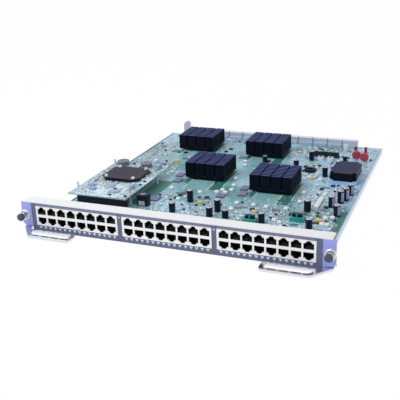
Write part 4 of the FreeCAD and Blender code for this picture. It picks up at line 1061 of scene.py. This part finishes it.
class LINECARD_OT_power(bpy.types.Operator):
    """Power converter, upright regulator, coils, surge discs, fuses and the choke with a window"""
    bl_idname = "linecard.power"
    bl_label = "Power parts"

    def execute(self, context):
        dress(coat("Converter case"), "power_converter", ease=0.3 * MM)
        dress(coat("Converter base"), "converter_base", ease=0.2 * MM)
        dress(coat("Regulator board"), "regulator_board")
        dress(coat("Fuse sleeve"), "fuse_posts")
        self.discs()
        self.coils()
        self.choke()
        return {"FINISHED"}

    @staticmethod
    def discs():
        """Lens-shaped coated discs on edge, each on two bent leads."""
        middles, sizes = solids_of("surge_discs")
        lens = turned([(0.30, 0.0), (0.42, 0.10), (0.485, 0.25), (0.5, 0.5), (0.485, 0.75), (0.42, 0.90),
                       (0.30, 1.0)], 32).along_y().moved(y=-0.5)
        lenses, leads = [], []
        for (x, y, z), (wide, deep, high) in zip(middles, sizes):
            top, span = z + high / 2, min(wide, 14 * MM)
            lenses.append(lens.repeated([(x, y, top - span / 2)], (span, deep, span)))
            for lead_x in (x - 3.75 * MM, x + 3.75 * MM):
                path = [(lead_x, y, BOARD_TOP), (lead_x, y, top - span * 0.75)]
                leads.append(wire(path, 0.7 * MM).toned(1))
        piece("coated_discs", joined(lenses + leads), coats("Disc coating", "Solder and terminals"),
              replaces=["surge_discs"])

    @staticmethod
    def square_coil(foot, wide, high):
        """A white case with a round well in its top."""
        case_high, well_deep = high * 0.96, high * 0.04
        case = slab(wide, wide, case_high, 1.0 * MM, 0.3 * MM, 2)
        well = turned([(2.6 * MM, 0), (2.6 * MM, well_deep), (0.2 * MM, well_deep)], 20).toned(1)
        return (case + well.moved(z=case_high)).moved(*foot)

    @staticmethod
    def toroid(foot, wide, high):
        """A core wound with wire: the winding's rings stand square to the core's circle."""
        middle_z, bore, rings = high / 2, 3.9 * MM, 26
        core = (wide / 2 + bore) / 2
        turn = np.linspace(0, 2 * math.pi, 12, endpoint=False)
        section = np.column_stack([core + 2.0 * MM * np.cos(turn), middle_z + 1.9 * MM * np.sin(turn)])
        loop = np.linspace(0, 2 * math.pi, 13)
        reach, rise = core + 2.2 * MM * np.cos(loop), middle_z + 2.15 * MM * np.sin(loop)
        ways = np.linspace(0, 2 * math.pi, rings, endpoint=False)
        windings = [wire(np.column_stack([reach * math.cos(way), reach * math.sin(way), rise]), 0.7 * MM,
                         sides=5) for way in ways]
        return (hoop(section, 40).toned(1) + joined(windings).toned(2)).moved(foot[0], foot[1], BOARD_TOP)

    def coils(self):
        """The two square coils and the toroid, which is the widest of the three."""
        feet, sizes = feet_of("regulator_coils")
        *square, widest = np.argsort(sizes[:, 0])
        forms = [self.square_coil(feet[one], sizes[one][0], sizes[one][2]) for one in square]
        forms.append(self.toroid(feet[widest], sizes[widest][0], sizes[widest][2]))
        piece("regulator_windings", joined(forms),
              coats("White moulding", "Black moulding", "Enamelled wire"),
              replaces=["regulator_coils"])

    @staticmethod
    def choke():
        """A moulded case with a round window in its top, and winding strips on its front face."""
        low, high = box_of("choke_block")
        wide, deep, tall = high - low
        middle = (low + high) / 2
        strip_deep, rim_high, bore, strip_wide, strip_pitch = mm(0.6, 0.5, 4.6, 1.1, 2.3)
        case = slab(wide, deep - strip_deep, tall - rim_high, 1.2 * MM, 0.3 * MM, 2)
        case = case.moved(middle[0], middle[1] + strip_deep / 2, low[2])
        rim = hoop([(bore, 0), (bore + 0.4 * MM, 0), (bore + 0.4 * MM, rim_high), (bore, rim_high)], 32)
        well = turned([(bore, 0), (bore, 0.05 * MM), (0.1 * MM, 0.05 * MM)], 32).toned(1)
        strips = [brick((x, low[1], low[2] + 1.5 * MM),
                        (x + strip_wide, low[1] + 0.4 * MM, low[2] + 7.5 * MM)).toned(2)
                  for x in low[0] + 3.4 * MM + np.arange(4) * strip_pitch]
        window = (rim + well).moved(middle[0], middle[1], high[2] - rim_high)
        piece("windowed_choke", joined([case, window, *strips]),
              coats("Black moulding", "Choke window", "White moulding"),
              replaces=["choke_block"])


# ------------------------------------------------------------------ backplane connectors

class LINECARD_OT_connectors(bpy.types.Operator):
    """Backplane connector segments with painted shade for the open cells at the rear, and the guide post"""
    bl_idname = "linecard.connectors"
    bl_label = "Backplane connectors"

    def execute(self, context):
        feet, sizes = feet_of("backplane_connectors")
        places = at_height(feet, BOARD_TOP)
        piece("plug_segments", self.segment(*sizes[0]).repeated(places),
              coats("Connector moulding", "White moulding"),
              replaces=["backplane_connectors"])
        # painted shade: thin dark tiles stand in for the shade inside the open cells
        piece("plug_cell_shade", self.cells(*sizes[0]).repeated(places), coats("Connector cell shade"))
        dress(coat("Guide post casting"), "guide_post", ease=0.8 * MM)
        return {"FINISHED"}

    @staticmethod
    def segment(wide, deep, high):
        """A head over the board's edge, a low foot in front of it, a pale cap and ten pale fins."""
        foot_deep, foot_high, wall, fin = mm(4.0, 5.0, 0.4, 0.5)
        head = slab(wide, deep - foot_deep, high, 0.5 * MM, 0.25 * MM).moved(y=foot_deep / 2)
        foot = slab(wide, foot_deep + wall, foot_high, 0.4 * MM, 0.2 * MM).moved(y=-deep / 2 + foot_deep / 2)
        cap = slab(wide - 1.2 * MM, deep - foot_deep - 2.4 * MM, 0.3 * MM, 0.3 * MM).toned(1)
        fins = slab(fin, fin, high - foot_high - 2 * fin).toned(1).repeated(
            [(x, -deep / 2 + foot_deep, foot_high + fin) for x in centred(10, 2.2 * MM)])
        return joined([head, foot, cap.moved(y=foot_deep / 2, z=high - 0.25 * MM), fins])

    @staticmethod
    def cells(wide, deep, high):
        """Painted shade for the open cells in the rear face: a grid of thin dark tiles."""
        columns, rows, thin = 10, 5, 0.02 * MM
        tile = slab(1.3 * MM, thin, 1.1 * MM)
        return tile.repeated([(x, (deep - thin) / 2, (row + 0.75) * high / (rows + 0.5))
                              for row in range(rows) for x in centred(columns, wide / (columns + 0.6))])


# ------------------------------------------------------------------ small surface-mounted parts

SOLDER = "Solder and terminals"


def chip_part(body_high=0.9):
    """A two-ended part of unit size: a body with a plated end on each side."""
    end = brick((-0.10, -0.5, 0), (0.10, 0.5, 1.0)).toned(1)
    return brick((-0.31, -0.47, 0), (0.31, 0.47, body_high)) + end.repeated([(-0.4, 0, 0), (0.4, 0, 0)])


def small_package():
    """A small moulded package of unit size on six feet."""
    foot = brick((-0.08, -0.07, 0), (0.08, 0.07, 0.2)).toned(1)
    feet = foot.repeated([(side * 0.42, row, 0) for side in (-1, 1) for row in (-0.3, 0, 0.3)])
    return slab(0.72, 0.96, 0.88, 0.0, 0.06).moved(z=0.12) + feet


SMALL_KINDS = {
    # name: (form, size in mm, share of all, finishes, slot)
    "small_resistors": (chip_part(0.8), (2.0, 1.25, 0.55), 0.17, ("Resistor glaze", SOLDER), "chip_black"),
    "small_capacitors": (chip_part(0.98), (2.0, 1.25, 1.1), 0.14, ("Capacitor ceramic", SOLDER),
                         "yellow_moulding"),
    "bright_chips": (chip_part(0.98), (3.4, 2.0, 1.6), 0.22, ("Pale ceramic", SOLDER), "white_nylon"),
    "small_packages": (small_package(), (4.4, 4.0, 1.4), 0.09, ("Black moulding", SOLDER), "chip_black"),
    "crystal_cans": (slab(0.96, 0.96, 0.96, 0.12, 0.08), (4.6, 3.0, 1.3), 0.12, (SOLDER,), "steel_bright"),
    "bare_pads": (chip_part(0.1), (3.0, 1.6, 0.06), 0.26, ("Silkscreen", SOLDER), "white_nylon"),
}

# Places of the larger small parts, in mm from the card's middle and from the panel's face. Main board: pale
# inductors, rows of small dark parts, dark packages in groups and tan blocks in rows. Daughter board: pale
# blocks and tan ones.
INDUCTOR_PLACES = [
    (7, 231), (14, 203), (-22, 163), (0, 171), (5, 180), (12, 172), (17, 184), (40, 139), (63, 139),
    (81, 137), (107, 138), (107, 266), (115, 202), (125, 258), (118, 167), (144, 201), (162, 121),
    (170, 125), (103, 97), (111, 93), (40, 116), (-69, 415), (-4, 311), (-94, 232), (-67, 168),
    (-41, 131), (-142, 277), (1, 291)]
ROW_PLACES = [
    (-4, 145), (53, 129), (96, 131), (139, 232), (98, 296), (161, 84), (129, 92), (153, 150), (-49, 155),
    (-163, 355), (46, 126), (76, 118), (132, 130), (30, 296), (-100, 300), (60, 395), (140, 330)]
DARK_PLACES = [
    (-45, 147), (-46, 135), (-38, 158), (-48, 368), (-51, 353), (91, 312), (101, 301), (93, 293), (110, 321),
    (122, 384), (135, 224), (147, 240), (155, 158), (-6, 148), (-113, 330), (-160, 218), (20, 128), (66, 125),
    (118, 122), (30, 322), (-86, 330)]
TAN_PLACES = [
    (-164, 321), (-162, 306), (-161, 289), (-113, 256), (-113, 267), (-113, 278), (97, 332), (122, 334),
    (-58, 141), (0, 132), (108, 305)]
DAUGHTER_PALE = [
    (-172, 98), (-150, 88), (-128, 88), (-116, 112), (-110, 135), (-104, 152), (-171, 130), (-152, 118),
    (-173, 158), (-171, 172), (-136, 203), (-108, 170)]
DAUGHTER_TAN = [(-164, 114), (-120, 96), (-138, 110), (-160, 88), (-108, 186), (-172, 188)]

BLOCK_FIELDS = [
    # left, front, right, rear in mm from the board's middle and its front edge; pitch; share kept
    (82, 262, 120, 318, 7.4, 0.90),
    (-62, 112, -22, 152, 7.4, 0.80),
    (-60, 24, 182, 62, 8.4, 0.60),
    (-80, 62, 182, 112, 9.6, 0.42),
    (122, 112, 182, 250, 9.0, 0.48),
    (-176, 230, -90, 410, 10.5, 0.35),
    (60, 250, 182, 415, 9.6, 0.42),
]


def free_spots(low, high, pitch, rise, seed, crowding, taken):
    """Spots on a grid of one pitch, each moved a little at random, and kept with the share crowding where no
    taken box lies near. With each spot comes a quarter turn or none; the random numbers come back last."""
    shift, gap = 0.12, pitch * 0.55
    rng = np.random.default_rng(seed)
    x, y = (np.arange(low[axis] + pitch / 2, high[axis] - pitch / 2, pitch) for axis in (0, 1))
    spots = np.stack(np.meshgrid(x, y), axis=-1).reshape(-1, 2)
    spots = spots + rng.uniform(-shift, shift, spots.shape) * pitch
    clear_of = (spots[:, None] <= taken[None, :, 0] - gap) | (spots[:, None] >= taken[None, :, 1] + gap)
    free = clear_of.any(axis=2).all(axis=1)
    kept = spots[free & (rng.uniform(size=len(spots)) < crowding)]
    turns = rng.integers(0, 2, len(kept)) * QUARTER
    return at_height(kept, rise), turns, rng


def boxes_on(*nodes):
    """Footprints of every solid in the named nodes: lowest and highest corner of each."""
    solids = [solids_of(node) for node in nodes]
    middles, sizes = (np.concatenate([solid[part][:, :2] for solid in solids]) for part in (0, 1))
    return np.stack([middles - sizes / 2, middles + sizes / 2], axis=1)


def squares_round(places, reach):
    """Square footprints of one half width round each of some places."""
    middles = places[:, :2]
    return np.stack([middles - reach, middles + reach], axis=1)


def from_face(spots, rise=BOARD_TOP):
    """Places given in mm from the card's middle and from the panel's face, in metres and at a height."""
    return at_height(np.array(spots) * MM + (0, FACE_Y), rise)


class LINECARD_OT_small_parts(bpy.types.Operator):
    """Small surface-mounted parts scattered over the free areas of both boards"""
    bl_idname = "linecard.small_parts"
    bl_label = "Small parts"

    def execute(self, context):
        look = context.scene.card_board
        self.inductors()
        self.part_rows()
        for name, form, spots, size, rise, body, slot in (
                ("dark_packages", small_package(), DARK_PLACES, (7.0, 6.0, 2.0), BOARD_TOP, "Black moulding",
                 "chip_black"),
                ("tan_rows", chip_part(0.95), TAN_PLACES, (6.0, 4.0, 2.6), BOARD_TOP, "Capacitor ceramic",
                 "yellow_moulding"),
                ("pale_blocks", chip_part(0.95), DAUGHTER_PALE, (5.0, 3.6, 2.2), DAUGHTER_TOP, "Pale ceramic",
                 "white_nylon"),
                ("tan_blocks", chip_part(0.95), DAUGHTER_TAN, (5.6, 3.4, 2.4), DAUGHTER_TOP,
                 "Capacitor ceramic", "yellow_moulding")):
            every_other_turned = (np.arange(len(spots)) % 2) * QUARTER
            piece(name, form.repeated(from_face(spots, rise), mm(*size), every_other_turned),
                  coats(body, SOLDER))
        taken = self.board_blocks(look, self.main_taken())
        spots, turns, pick = self.board_spots(look, taken)
        share_below = 0.0
        for name, (form, size, share_of_all, finishes, slot) in SMALL_KINDS.items():
            mine = (pick >= share_below) & (pick < share_below + share_of_all)
            share_below += share_of_all
            piece(name, form.repeated(spots[mine], mm(*size), turns[mine]),
                  coats(*finishes))
        return {"FINISHED"}

    @staticmethod
    def inductors():
        """Pale moulded inductors: a domed block with round corners on a flat grey foot."""
        rings = []
        for inset, rise in mm((0.0, 0.7), (0.0, 2.0), (0.25, 2.9), (0.8, 3.4), (1.6, 3.6)):
            half = 3.0 * MM - inset
            ring = rounded_outline(half, half, 0.45 * half, 3)
            rings.append(at_height(ring, rise))
        form = skin(rings) + slab(6.4 * MM, 5.0 * MM, 0.8 * MM).toned(1)
        piece("pale_inductors", form.repeated(from_face(INDUCTOR_PLACES)),
              coats("Pale moulding", SOLDER))

    @staticmethod
    def part_rows():
        """Two rows of five small parts at each place."""
        steps = [(x, y, 0) for x in centred(5, 2.3 * MM) for y in centred(2, 3.4 * MM)]
        block = chip_part(0.9).repeated(steps, mm(1.5, 2.6, 0.9))
        piece("part_rows", block.repeated(from_face(ROW_PLACES)), coats("Resistor glaze", SOLDER))

    @staticmethod
    def board_blocks(look, taken):
        """Pale blocks strewn over fields of the main board; adds their footprints to the taken ones."""
        front, seed = box_of("main_board")[0][1], look.seed + 20
        found, turned_by = [], []
        for number, (*field, pitch, amount) in enumerate(BLOCK_FIELDS):
            left, near, right, far = mm(*field)
            places, turns, _ = free_spots((left, front + near), (right, front + far), pitch * MM, BOARD_TOP,
                                          seed + number, amount, taken)
            found.append(places)
            turned_by.append(turns)
            taken = np.concatenate([taken, squares_round(places, 2.6 * MM)])
        piece("board_blocks", chip_part(0.95).repeated(np.vstack(found), mm(5.2, 3.8, 2.0),
                                                       np.concatenate(turned_by)),
              coats("Pale ceramic", SOLDER))
        return taken

    @staticmethod
    def main_taken():
        """Footprints of everything large on the main board."""
        found = boxes_on("electrolytic_cans", "logic_chips", "bead_capacitors", "white_headers", "fuse_posts",
                         "filter_chokes", "choke_block", "regulator_board", "regulator_coils", "surge_discs",
                         "backplane_connectors", "guide_post", "converter_base", "board_socket",
                         "board_posts", *[f"heat_sink_{number}" for number in SINKS])
        reaches = ((ROW_PLACES, 4.6 * MM), (INDUCTOR_PLACES, 2.6 * MM), (DARK_PLACES, 3.0 * MM),
                   (TAN_PLACES, 2.6 * MM))
        return np.concatenate([found, *(squares_round(from_face(spots), reach) for spots, reach in reaches)])

    @staticmethod
    def board_spots(look, on_main):
        """Places, quarter turns and a random number for the kind of every small part."""
        on_daughter = np.concatenate([
            boxes_on("processor_sink", "round_coils", "daughter_chips", "push_pins", "daughter_posts"),
            squares_round(from_face(DAUGHTER_PALE + DAUGHTER_TAN), 2.4 * MM)])
        (left, front, _), (right, rear, _) = box_of("main_board")
        low, high = box_of("daughter_board")
        rim, daughter_rim = 3 * MM, 2 * MM
        fields = [
            # left, front, right, rear, pitch in mm, share of the crowding
            (left + 112 * MM, front + 26 * MM, right - rim, front + 128 * MM, 4.6, 1.0),
            (right - 62 * MM, front + 128 * MM, right - rim, front + 245 * MM, 4.8, 0.9),
            (left + 92 * MM, front + 128 * MM, right - 62 * MM, front + 330 * MM, 6.2, 0.2),
            (left + rim, front + 222 * MM, left + 92 * MM, rear - 20 * MM, 5.4, 0.45),
            (right - 105 * MM, front + 245 * MM, right - rim, rear - 16 * MM, 4.8, 0.8),
            (left + 92 * MM, front + 330 * MM, right - 105 * MM, rear - 18 * MM, 6.0, 0.4),
            (*low[:2] + daughter_rim, *high[:2] - daughter_rim, 4.6, 0.85),
        ]
        boards = [(BOARD_TOP, on_main)] * 6 + [(DAUGHTER_TOP, on_daughter)]
        found = []
        for number, ((x0, y0, x1, y1, pitch, amount), (top, taken)) in enumerate(zip(fields, boards)):
            places, turns, rng = free_spots((x0, y0), (x1, y1), pitch * MM, top, look.seed + number,
                                            look.crowding * amount, taken)
            found.append((places, turns, rng.uniform(size=len(places))))
        return [np.concatenate(part) for part in zip(*found)]


# ------------------------------------------------------------------ levers and thumbscrews

class LINECARD_OT_levers(bpy.types.Operator):
    """Bright nickel ejector levers"""
    bl_idname = "linecard.levers"
    bl_label = "Ejector levers"

    def execute(self, context):
        nickel = brushed("Bright nickel", (0.76, 0.79, 0.85), 0.22, (1.0, 0.1, 1.0), vary=0.03, bump=0.01,
                         scale=300.0)
        dress(nickel, "lever_left", "lever_right", ease=0.5 * MM)
        return {"FINISHED"}


class LINECARD_OT_thumbscrews(bpy.types.Operator):
    """Captive thumbscrews: collar, wire spring, washer, threaded screw and knurled knob"""
    bl_idname = "linecard.thumbscrews"
    bl_label = "Thumbscrews"

    def execute(self, context):
        look = context.scene.card_parts
        self.collars()
        for side in ("left", "right"):
            low, high = box_of(f"knob_{side}")
            x, z = (low[0] + high[0]) / 2, (low[2] + high[2]) / 2
            self.knob(look, side, x, z)
            self.spring(look, side, x, z)
            self.screw(side, x, z)
            dress(coat("Bright steel"), f"washer_{side}")
        return {"FINISHED"}

    @staticmethod
    def collars():
        """Cups with a rolled lip, a groove round the foot and a bored floor."""
        middles, sizes = solids_of("screw_collars")
        outer, long = sizes[0][0] / 2, sizes[0][1]
        bore, well, lip, floor_high = mm(3.0, 5.0, 0.5, 1.2)
        profile = [(bore, long), (outer, long), (outer, long - 1.0 * MM), (outer - lip, long - 1.3 * MM),
                   (outer - lip, long - 1.9 * MM), (outer, long - 2.2 * MM), (outer, 0.6 * MM),
                   (outer - lip, 0), (well + lip, 0), (well, lip), (well, long - 1.4 * MM),
                   (4.9 * MM, long - floor_high), (bore, long - floor_high)]
        places = middles - sizes * (0, 0.5, 0)
        piece("ferrule_cups", hoop(profile, 48).along_y().repeated(places), coats("Collar nickel"),
              replaces=["screw_collars"])

    @staticmethod
    def knob(look, side, x, z):
        """A cap with a crowned front, a knurled grip and a shoulder, open behind for the spring's washer."""
        low, high = box_of(f"knob_{side}")
        ridge = 0.15 * MM
        radius, long = (high[2] - low[2]) / 2 - ridge, high[1] - low[1]
        shoulder = radius * 0.86
        profile = [(0.1 * MM, 0), (radius * 0.45, 0.1 * MM), (radius * 0.75, 0.5 * MM),
                   (radius * 0.92, 1.3 * MM), (radius, 2.3 * MM), (radius, long - 1.6 * MM),
                   (shoulder, long - 1.0 * MM), (shoulder, long), (2.2 * MM, long)]
        form = turned(profile, look.knurls * 4, look.knurls, ridge).along_y().moved(x, low[1], z)
        piece(f"knurled_knob_{side}", form, coats("Knob moulding"), body=f"{side}_knob",
              replaces=[f"knob_{side}"])

    @staticmethod
    def spring(look, side, x, z):
        """A wire helix between the washer and the collar's floor: the angle grows evenly with the way along
        Y."""
        low, high = box_of(f"spring_{side}")
        radius, long = (high[0] - low[0] - look.wire) / 2, high[1] - low[1]
        step = np.linspace(0, 1, int(24 * look.spring_turns))
        angle = step * look.spring_turns * 2 * math.pi
        along = low[1] + look.wire / 2 + step * (long - look.wire)
        path = np.column_stack([x + radius * np.cos(angle), along, z + radius * np.sin(angle)])
        obj = piece(f"spring_wire_{side}", wire(path, look.wire), coats("Bright steel"),
                    replaces=[f"spring_{side}"])
        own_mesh(obj)

    @staticmethod
    def screw(side, x, z):
        """A shaft whose free end carries a thread: the radius follows a saw-tooth of the way along it."""
        low, high = box_of(f"thumbscrew_{side}")
        shaft, long = (high[0] - low[0]) / 2, high[1] - low[1]
        point, tip_long, half_pitch, crest, depth = mm(0.1, 4.6, 0.35, 2.0, 0.3)
        thread = long - tip_long + np.arange(0, tip_long - half_pitch, half_pitch)
        crests = [(crest - number % 2 * depth, rise) for number, rise in enumerate(thread)]
        profile = [(point, 0), (shaft, 0), (shaft, long - tip_long), *crests, (1.5 * MM, long), (point, long)]
        piece(f"screw_{side}", turned(profile, 24).along_y().moved(x, low[1], z), coats("Bright steel"),
              body=f"{side}_knob", replaces=[f"thumbscrew_{side}"])


# ------------------------------------------------------------------ floor, lamps and camera

class LINECARD_OT_stage(bpy.types.Operator):
    """Pale floor, even studio light and the camera"""
    bl_idname = "linecard.stage"
    bl_label = "Stage"

    def execute(self, context):
        look = context.scene.card_stage
        self.camera(look)
        self.floor(look)
        self.sky(look)
        self.lamp(look)
        context.scene.view_settings.view_transform = "Standard"
        return {"FINISHED"}

    @staticmethod
    def camera(look):
        """The camera's axes from its turn and tilt, then rolled about its line of sight."""
        ahead = Vector((-math.sin(look.turn) * math.cos(look.tilt), math.cos(look.turn) * math.cos(look.tilt),
                        math.sin(look.tilt)))
        right = Vector((math.cos(look.turn), math.sin(look.turn), 0.0))
        up = right.cross(ahead)
        across = right * math.cos(look.roll) + up * math.sin(look.roll)
        upward = up * math.cos(look.roll) - right * math.sin(look.roll)
        data = bpy.data.cameras.new("Camera")
        data.lens = look.lens
        data.clip_start = 10 * MM
        camera = placed("Camera", data)
        camera.matrix_world = (Matrix.Translation(look.eye)
                               @ Matrix((across, upward, -ahead)).transposed().to_4x4())
        bpy.context.scene.camera = camera

    @staticmethod
    def floor(look):
        """A large plane; the camera and mirror rays see it as nearly plain white with the card's shadow."""
        material = bpy.data.materials.new("Studio floor")
        material.use_nodes = True
        wiring = Wiring(material.node_tree)
        shader = material.node_tree.nodes["Principled BSDF"]
        grain = wiring.noise(wiring.object_place(), 3.0)
        wiring.feed(shader, Roughness=0.8,
                    Base_Color=wiring.blend(grain, shaded(look.floor, 0.01)[0], look.floor))
        glow = wiring.add("ShaderNodeEmission", Color=(1.0, 1.0, 1.0, 1.0), Strength=1.0)
        rays = wiring.add("ShaderNodeLightPath").outputs
        seen = wiring.maths("MAXIMUM", rays["Is Camera Ray"],
                            wiring.maths("MAXIMUM", rays["Is Glossy Ray"], rays["Is Transmission Ray"]))
        mix = wiring.add("ShaderNodeMixShader")
        sources = (wiring.times(seen, look.glow), shader.outputs[0], glow.outputs[0])
        for source, socket in zip(sources, mix.inputs):
            wiring.join(source, socket)
        wiring.feed(material.node_tree.nodes["Material Output"], Surface=mix.outputs[0])
        side = 6.0
        mesh = bpy.data.meshes.new("floor")
        mesh.from_pydata([(-side, -side, 0), (side, -side, 0), (side, side, 0), (-side, side, 0)], [],
                         [(0, 1, 2, 3)])
        mesh.materials.append(material)
        placed("floor", mesh)

    @staticmethod
    def sky(look):
        """An even sky that the camera sees as white."""
        seen_white = 1.03
        world = bpy.data.worlds.new("Studio")
        world.use_nodes = True
        wiring = Wiring(world.node_tree)
        rays = wiring.add("ShaderNodeLightPath").outputs
        wiring.feed(world.node_tree.nodes["Background"], Color=(0.97, 0.98, 1.0, 1.0),
                    Strength=wiring.spread(rays["Is Camera Ray"], 0.0, 1.0, look.sky, seen_white))
        bpy.context.scene.world = world

    @staticmethod
    def lamp(look):
        """One broad lamp above, in front and to the left, that faces the card's middle."""
        place = Vector((-0.7, -0.5, 1.3))
        data = bpy.data.lights.new("Key", "AREA")
        data.shape = "RECTANGLE"
        data.size, data.size_y = 1.4, 1.0
        data.energy = look.key
        facing = (-place).to_track_quat("-Z", "Y").to_matrix().to_4x4()
        placed("Key", data).matrix_world = Matrix.Translation(place) @ facing


# ------------------------------------------------------------------ the sidebar and the whole card

OPERATORS = (LINECARD_OT_panel, LINECARD_OT_sockets, LINECARD_OT_tray, LINECARD_OT_board,
             LINECARD_OT_heat_sinks, LINECARD_OT_packages, LINECARD_OT_cans, LINECARD_OT_daughter,
             LINECARD_OT_power, LINECARD_OT_connectors, LINECARD_OT_small_parts, LINECARD_OT_levers,
             LINECARD_OT_thumbscrews, LINECARD_OT_stage)


class LINECARD_PT_sidebar(bpy.types.Panel):
    """Lists the card's pieces and their settings"""
    bl_label = "Line Card"
    bl_idname = "LINECARD_PT_sidebar"
    bl_space_type = "VIEW_3D"
    bl_region_type = "UI"
    bl_category = "Line Card"

    def draw(self, context):
        for operator in OPERATORS:
            self.layout.operator(operator.bl_idname)
        for group in GROUPS:
            box = self.layout.box()
            for name in GROUPS[group].__annotations__:
                box.prop(getattr(context.scene, group), name)


CLASSES = (*GROUPS.values(), *OPERATORS, LINECARD_PT_sidebar)


def register():
    for one in CLASSES:
        bpy.utils.register_class(one)
    for name, group in GROUPS.items():
        setattr(bpy.types.Scene, name, bpy.props.PointerProperty(type=group))


def unregister():
    for name in GROUPS:
        delattr(bpy.types.Scene, name)
    for one in reversed(CLASSES):
        bpy.utils.unregister_class(one)


def main():
    register()
    for operator in OPERATORS:
        family, name = operator.bl_idname.split(".")
        getattr(getattr(bpy.ops, family), name)()


if __name__ == "__main__":
    main()
